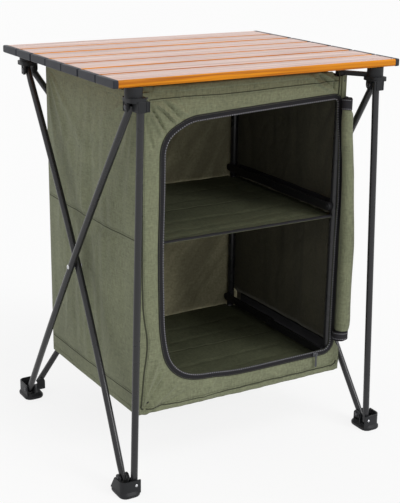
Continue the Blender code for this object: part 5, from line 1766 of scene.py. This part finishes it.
# Zip
class CUPBOARD_OT_zip(bpy.types.Operator):
    """Build the zip round the opening: its tape, coil, slider and pull"""

    bl_idname = "cupboard.zip"
    bl_label = "Zip"

    def execute(self, context):
        sizes = context.scene.cupboard.zip_sizes
        body = "front_left_hub"
        line = on_front(opening_outline(sizes.tape_width / 2 - 0.0004, 0.005), 0.0003)
        tape = swept(line, FORWARDS, band_outline(sizes.tape_width, 0.0011), closed=True)
        tape = settle(link("zip_tape_band", tape, "zip_tape_twill"), "webbing", body, "zip_tape")
        line = on_front(opening_outline(0.0012, 0.004), 0.0012)
        # Spacing, length, width and height of a tooth, and then of a stitch
        tooth = (sizes.tooth_pitch, 0.0026, 0.0030, 0.0016)
        coil = row_of("zip_coil", [line], FORWARDS, body, tooth, "nylon_coil", "black_plastic", closed=True)
        line = on_front(opening_outline(sizes.tape_width - 0.0024, 0.005), 0.0014)
        stitch = (0.0040, 0.0028, 0.0008, 0.0007)
        sewn = row_of("zip_stitches", [line], FORWARDS, body, stitch, "bonded_thread", "webbing", closed=True)
        for piece in (tape, coil, sewn):
            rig.squash(piece, "frame_fold", **CRUMPLE_WIDTH)
        # The slider has a wedge-shaped body and a bridge, and its pull hangs from them.
        low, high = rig.box("zip_slider")
        middle = (low + high) / 2
        mesh = join_meshes([rounded_block(middle, high - low), bridge_mesh(middle, low.y)])
        settle(link("zip_slider_body", mesh, "painted_zinc"), "zip_metal", "zip_slider", "zip_slider")
        pull = link("zip_pull_tab", pull_mesh(*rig.box("zip_pull")), "painted_zinc")
        soften(pull, 0.0003)
        settle(pull, "zip_metal", "zip_pull", "zip_pull")
        return {"FINISHED"}


def rounded_block(middle, size):
    """A small cast block, waisted like a zip slider."""
    half = size / 2
    rings = []
    # Through its depth: the share of its outline, from the back face to the crowned front.
    for place, share in ((1.0, 0.94), (0.8, 1.0), (0.2, 1.0), (0.05, 0.86), (-0.1, 0.86), (-0.3, 1.0),
                         (-0.6, 0.97), (-0.75, 0.86)):
        ring = []
        for turn in turns_round(28):
            x = math.copysign(abs(math.cos(turn)) ** 0.55, math.cos(turn))
            z = math.copysign(abs(math.sin(turn)) ** 0.55, math.sin(turn))
            waist = 1.0 - 0.16 * (1 - x * x) if abs(z) > 0.5 else 1.0
            ring.append(middle + Vector((half.x * share * x, half.y * place, half.z * share * z * waist)))
        rings.append(ring)
    return loft(rings, 40.0)


def bridge_mesh(middle, front_y_of_body):
    """The bridge on the slider that holds the pull."""
    points = []
    for step in range(9):
        turn = math.pi * step / 8
        depth = front_y_of_body + 0.0012 - 0.0011 * math.sin(turn)
        points.append(Vector((middle.x - 0.0040 * math.cos(turn), depth, middle.z + 0.0016)))
    return swept(points, (0, 0, 1), round_outline(0.00055, 10))


def pull_mesh(low, high):
    """The pull tab: an eye at the top, a narrow neck and a wider grip."""
    # Down its length: the share of the width.
    widths = ((0.0, 0.55), (0.04, 0.85), (0.12, 0.95), (0.22, 0.80), (0.30, 0.66), (0.42, 0.70), (0.60, 0.92),
              (0.80, 1.0), (0.92, 0.94), (0.98, 0.72), (1.0, 0.45))
    middle_x = (low.x + high.x) / 2
    half = (high.x - low.x) / 2
    spots = [(half * share, high.z - (high.z - low.z) * down) for down, share in widths]
    outline = [(middle_x + aside, z) for aside, z in spots]
    outline += [(middle_x - aside, z) for aside, z in reversed(spots)]
    return loft([[Vector((x, depth, z)) for x, z in outline] for depth in (low.y, high.y)], 30.0)


# Rolled door
ROLL_LOW_Z = 0.1915
ROLL_HIGH_Z = 0.6860
ROLL_CORE = 0.0019
# The roll is slightly wider than it is deep.
ROLL_WIDER = 1.06
DOOR_WIDTH = 0.385
DOOR_CLOTH = 0.0007
# Each tie's middle and width
TIES = {"bottom": (0.2015, 0.0160), "top": (0.6740, 0.0215)}
TIE_RADIUS = 0.0122
TIE_THICKNESS = 0.0012


def roll_centre(z):
    """The middle of the rolled door at a height: it leans a little, and swings in at its lower end."""
    x = 0.2320 - 0.0150 * smooth_step((z - 0.38) / 0.28) - 0.0080 * smooth_step((0.225 - z) / 0.04)
    x += 0.0009 * math.sin(2 * math.pi * z / 0.17) - 0.0030 * smooth_step((z - 0.652) / 0.014)
    return x, -0.2030 - 0.0006 * math.sin(2 * math.pi * z / 0.23)


def roll_swell(z):
    """How thick the roll is at a height, as a share of its radius: slacker below, pinched at its ties."""
    value = 1.15 - 0.26 * smooth_step((z - 0.36) / 0.30)
    for tie_z, _ in TIES.values():
        value -= 0.09 * bump_at(z, tie_z, 0.014)
    value -= 0.15 * smooth_step((z - 0.652) / 0.014)
    return value + 0.022 * math.sin(31 * z + 1.0) + 0.02 * wander(40 * z, 1.0, 7.0)


def round_roll(centre, radius, turn):
    """A place round the roll, as (x, y)."""
    return centre[0] + ROLL_WIDER * radius * math.cos(turn), centre[1] + radius * math.sin(turn)


class CUPBOARD_OT_door(bpy.types.Operator):
    """Build the door, rolled up as one sheet, and its ties"""

    bl_idname = "cupboard.door"
    bl_label = "Rolled door"

    def execute(self, context):
        sizes = context.scene.cupboard.zip_sizes
        rows = [self.roll_row(z, sizes) for z in even_steps(ROLL_LOW_Z, ROLL_HIGH_Z, 96)]
        mesh = sheet_mesh([row for row, _ in rows], [flat for _, flat in rows], (0, 0, 0))
        # The zip's tape runs along both ends of the roll.
        tape_width = 0.0220
        kinds = [1 if min(face.center.z - ROLL_LOW_Z, ROLL_HIGH_Z - face.center.z) < tape_width else 0
                 for face in mesh.polygons]
        mesh.polygons.foreach_set("material_index", kinds)
        door = link("rolled_door", mesh, "polyester_canvas", "zip_tape_twill")
        thicken(door, DOOR_CLOTH).modifiers["thickness"].offset = 0.0
        settle(door, "olive_cloth", "front_right_hub", "door_roll")
        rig.sheet(door, flat=(DOOR_WIDTH, ROLL_HIGH_Z - ROLL_LOW_Z), held="gathered",
                 rests_on=["door_tie_top", "door_tie_bottom"], with_pieces=self.ties())
        return {"FINISHED"}

    def roll_row(self, z, sizes):
        """One row of the rolled cloth at a height, with its flat places."""
        steps = 26 * sizes.roll_turns
        row = []
        flat = []
        run = 0.0
        for step in range(steps + 1):
            turn = 2 * math.pi * sizes.roll_turns * step / steps
            radius = ROLL_CORE + sizes.roll_pitch * turn / (2 * math.pi)
            ripple = 1.0 + 0.025 * wander(2.2 * math.cos(turn) + 3, 2.2 * math.sin(turn) + 9 * z, 12.0)
            reach = radius * roll_swell(z) * ripple
            row.append(Vector((*round_roll(roll_centre(z), reach, turn + 0.9), z)))
            flat.append((run, z))
            run += radius * 2 * math.pi * sizes.roll_turns / steps
        # The last of the cloth runs from the roll to the panel's edge, where it is sewn on.
        start = row[-1].copy()
        sewn = Vector((WALL_FACE_X + right_flare(z) - 0.0015, FRONT_FACE_Y - 0.0012, z))
        for step in range(1, 6):
            row.append(start.lerp(sewn, step / 5) + Vector((0.0022 * math.sin(math.pi * step / 5), 0.0, 0.0)))
            flat.append((run + (sewn - start).length * step / 5, z))
        return row, flat

    def ties(self):
        """A webbing band round each end of the roll, with its stitches."""
        made = []
        for label, (middle_z, width) in TIES.items():
            centre = roll_centre(middle_z)
            radius = TIE_RADIUS * roll_swell(middle_z) + 0.0006
            points = []
            for turn in turns_round(40):
                height = middle_z + 0.0006 * math.sin(2 * turn)
                points.append(Vector((*round_roll(centre, radius, turn), height)))
            middle = Vector((*centre, middle_z))
            ways = [(point - middle).xy.to_3d() for point in points]
            mesh = swept(points, lambda index: ways[index], band_outline(width, TIE_THICKNESS), closed=True)
            band = link(f"door_band_{label}", mesh, "grosgrain_binding")
            made.append(settle(band, "webbing", "front_right_hub", f"door_tie_{label}"))
            inset = 0.0022
            rings = [[point + Vector((0.0, 0.0, shift)) + TIE_THICKNESS * way.normalized()
                      for point, way in zip(points, ways)]
                     for shift in (inset - width / 2, width / 2 - inset)]
            made.append(row_of(f"tie_stitches_{label}", rings, lambda line: ways, "front_right_hub",
                               (0.0042, 0.0032, 0.0012, 0.0008), "nylon_coil", "webbing", closed=True))
        return made


class CUPBOARD_OT_corner_straps(bpy.types.Operator):
    """Build the tabs that hook the front cloth's corners to the corner fittings"""

    bl_idname = "cupboard.corner_straps"
    bl_label = "Corner straps"

    def execute(self, context):
        for side_name, side in SIDES:
            body = f"front_{side_name}_hub"
            low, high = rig.box(f"corner_tab_{side_name}")
            cad_copy(f"corner_hook_{side_name}", f"corner_tab_{side_name}", 0.0005, "olive_webbing",
                     "webbing", body)
            level = (low.z + high.z) / 2
            # The loop reaches inwards past the ring at the left, and runs down the corner at the right.
            loop_y = low.y + 0.0004
            if side < 0:
                dot_x = -0.2085
                width = 0.0190
                start_x = -0.2040
                length = 0.0170
                line = [Vector((start_x - length * step / 6, loop_y, level)) for step in range(7)]
            else:
                dot_x = 0.2165
                width = 0.0105
                length = 0.0420
                line = [Vector((dot_x, loop_y, high.z - length * step / 8)) for step in range(9)]
                slit_x = 0.2040
                slit_top = 0.7330
                slit_y = low.y + 0.0006
                pace = 0.0045
                slit = [Vector((slit_x + 0.0012 * math.sin(step / 3), slit_y, slit_top - pace * step))
                        for step in range(11)]
                slit = swept(slit, FORWARDS, round_outline(0.0011, 8))
                settle(link("corner_slit_right", slit, "seam_shadow_canvas"), "webbing", body)
            loop = swept(line, FORWARDS, band_outline(width, 0.0014))
            settle(link(f"corner_loop_{side_name}", loop, "olive_webbing"), "webbing", body)
            spot = (Vector((dot_x, low.y - 0.0008, level)), FORWARDS)
            rivet_heads(f"corner_hook_rivet_{side_name}", [spot], body, radius=0.0019, height=0.0009,
                        finish="black_oxide_rivet")
        return {"FINISHED"}


class CUPBOARD_PT_panel(bpy.types.Panel):
    """Lists the cupboard's operators and settings"""

    bl_label = "Folding camping cupboard"
    bl_idname = "CUPBOARD_PT_panel"
    bl_space_type = "VIEW_3D"
    bl_region_type = "UI"
    bl_category = "Cupboard"

    def draw(self, context):
        for operator in OPERATORS:
            self.layout.operator(operator.bl_idname)
        settings = context.scene.cupboard
        for group in (settings.colours, settings.frame_sizes, settings.top_sizes, settings.cloth_sizes,
                      settings.zip_sizes):
            box = self.layout.box()
            for key in group.bl_rna.properties.keys():
                if key not in ("rna_type", "name"):
                    box.prop(group, key)


OPERATORS = (
    CUPBOARD_OT_stage,
    CUPBOARD_OT_tubes,
    CUPBOARD_OT_fittings,
    CUPBOARD_OT_rivets,
    CUPBOARD_OT_side_bars,
    CUPBOARD_OT_slats,
    CUPBOARD_OT_walls,
    CUPBOARD_OT_front,
    CUPBOARD_OT_levels,
    CUPBOARD_OT_zip,
    CUPBOARD_OT_door,
    CUPBOARD_OT_corner_straps,
)
GROUPS = (CupboardColours, FrameSizes, TopSizes, ClothSizes, ZipSizes, CupboardSettings)


def register():
    """Make the settings, operators and panel known."""
    for item in (*GROUPS, *OPERATORS, CUPBOARD_PT_panel):
        bpy.utils.register_class(item)
    bpy.types.Scene.cupboard = PointerProperty(type=CupboardSettings)


def unregister():
    """Take them away again."""
    del bpy.types.Scene.cupboard
    for item in reversed((*GROUPS, *OPERATORS, CUPBOARD_PT_panel)):
        bpy.utils.unregister_class(item)


def main():
    """Build the whole cupboard and write down its size."""
    register()
    bpy.ops.cupboard.stage()
    bpy.ops.cupboard.tubes()
    bpy.ops.cupboard.fittings()
    bpy.ops.cupboard.rivets()
    bpy.ops.cupboard.side_bars()
    bpy.ops.cupboard.slats()
    bpy.ops.cupboard.walls()
    bpy.ops.cupboard.front()
    bpy.ops.cupboard.levels()
    bpy.ops.cupboard.zip()
    bpy.ops.cupboard.door()
    bpy.ops.cupboard.corner_straps()
    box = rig.bounds()
    with open("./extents.json", "w") as file:
        json.dump({"cad": [list(corner) for corner in CAD_BOX], "visual": [list(corner) for corner in box]}, file)


if __name__ == "__main__":
    main()
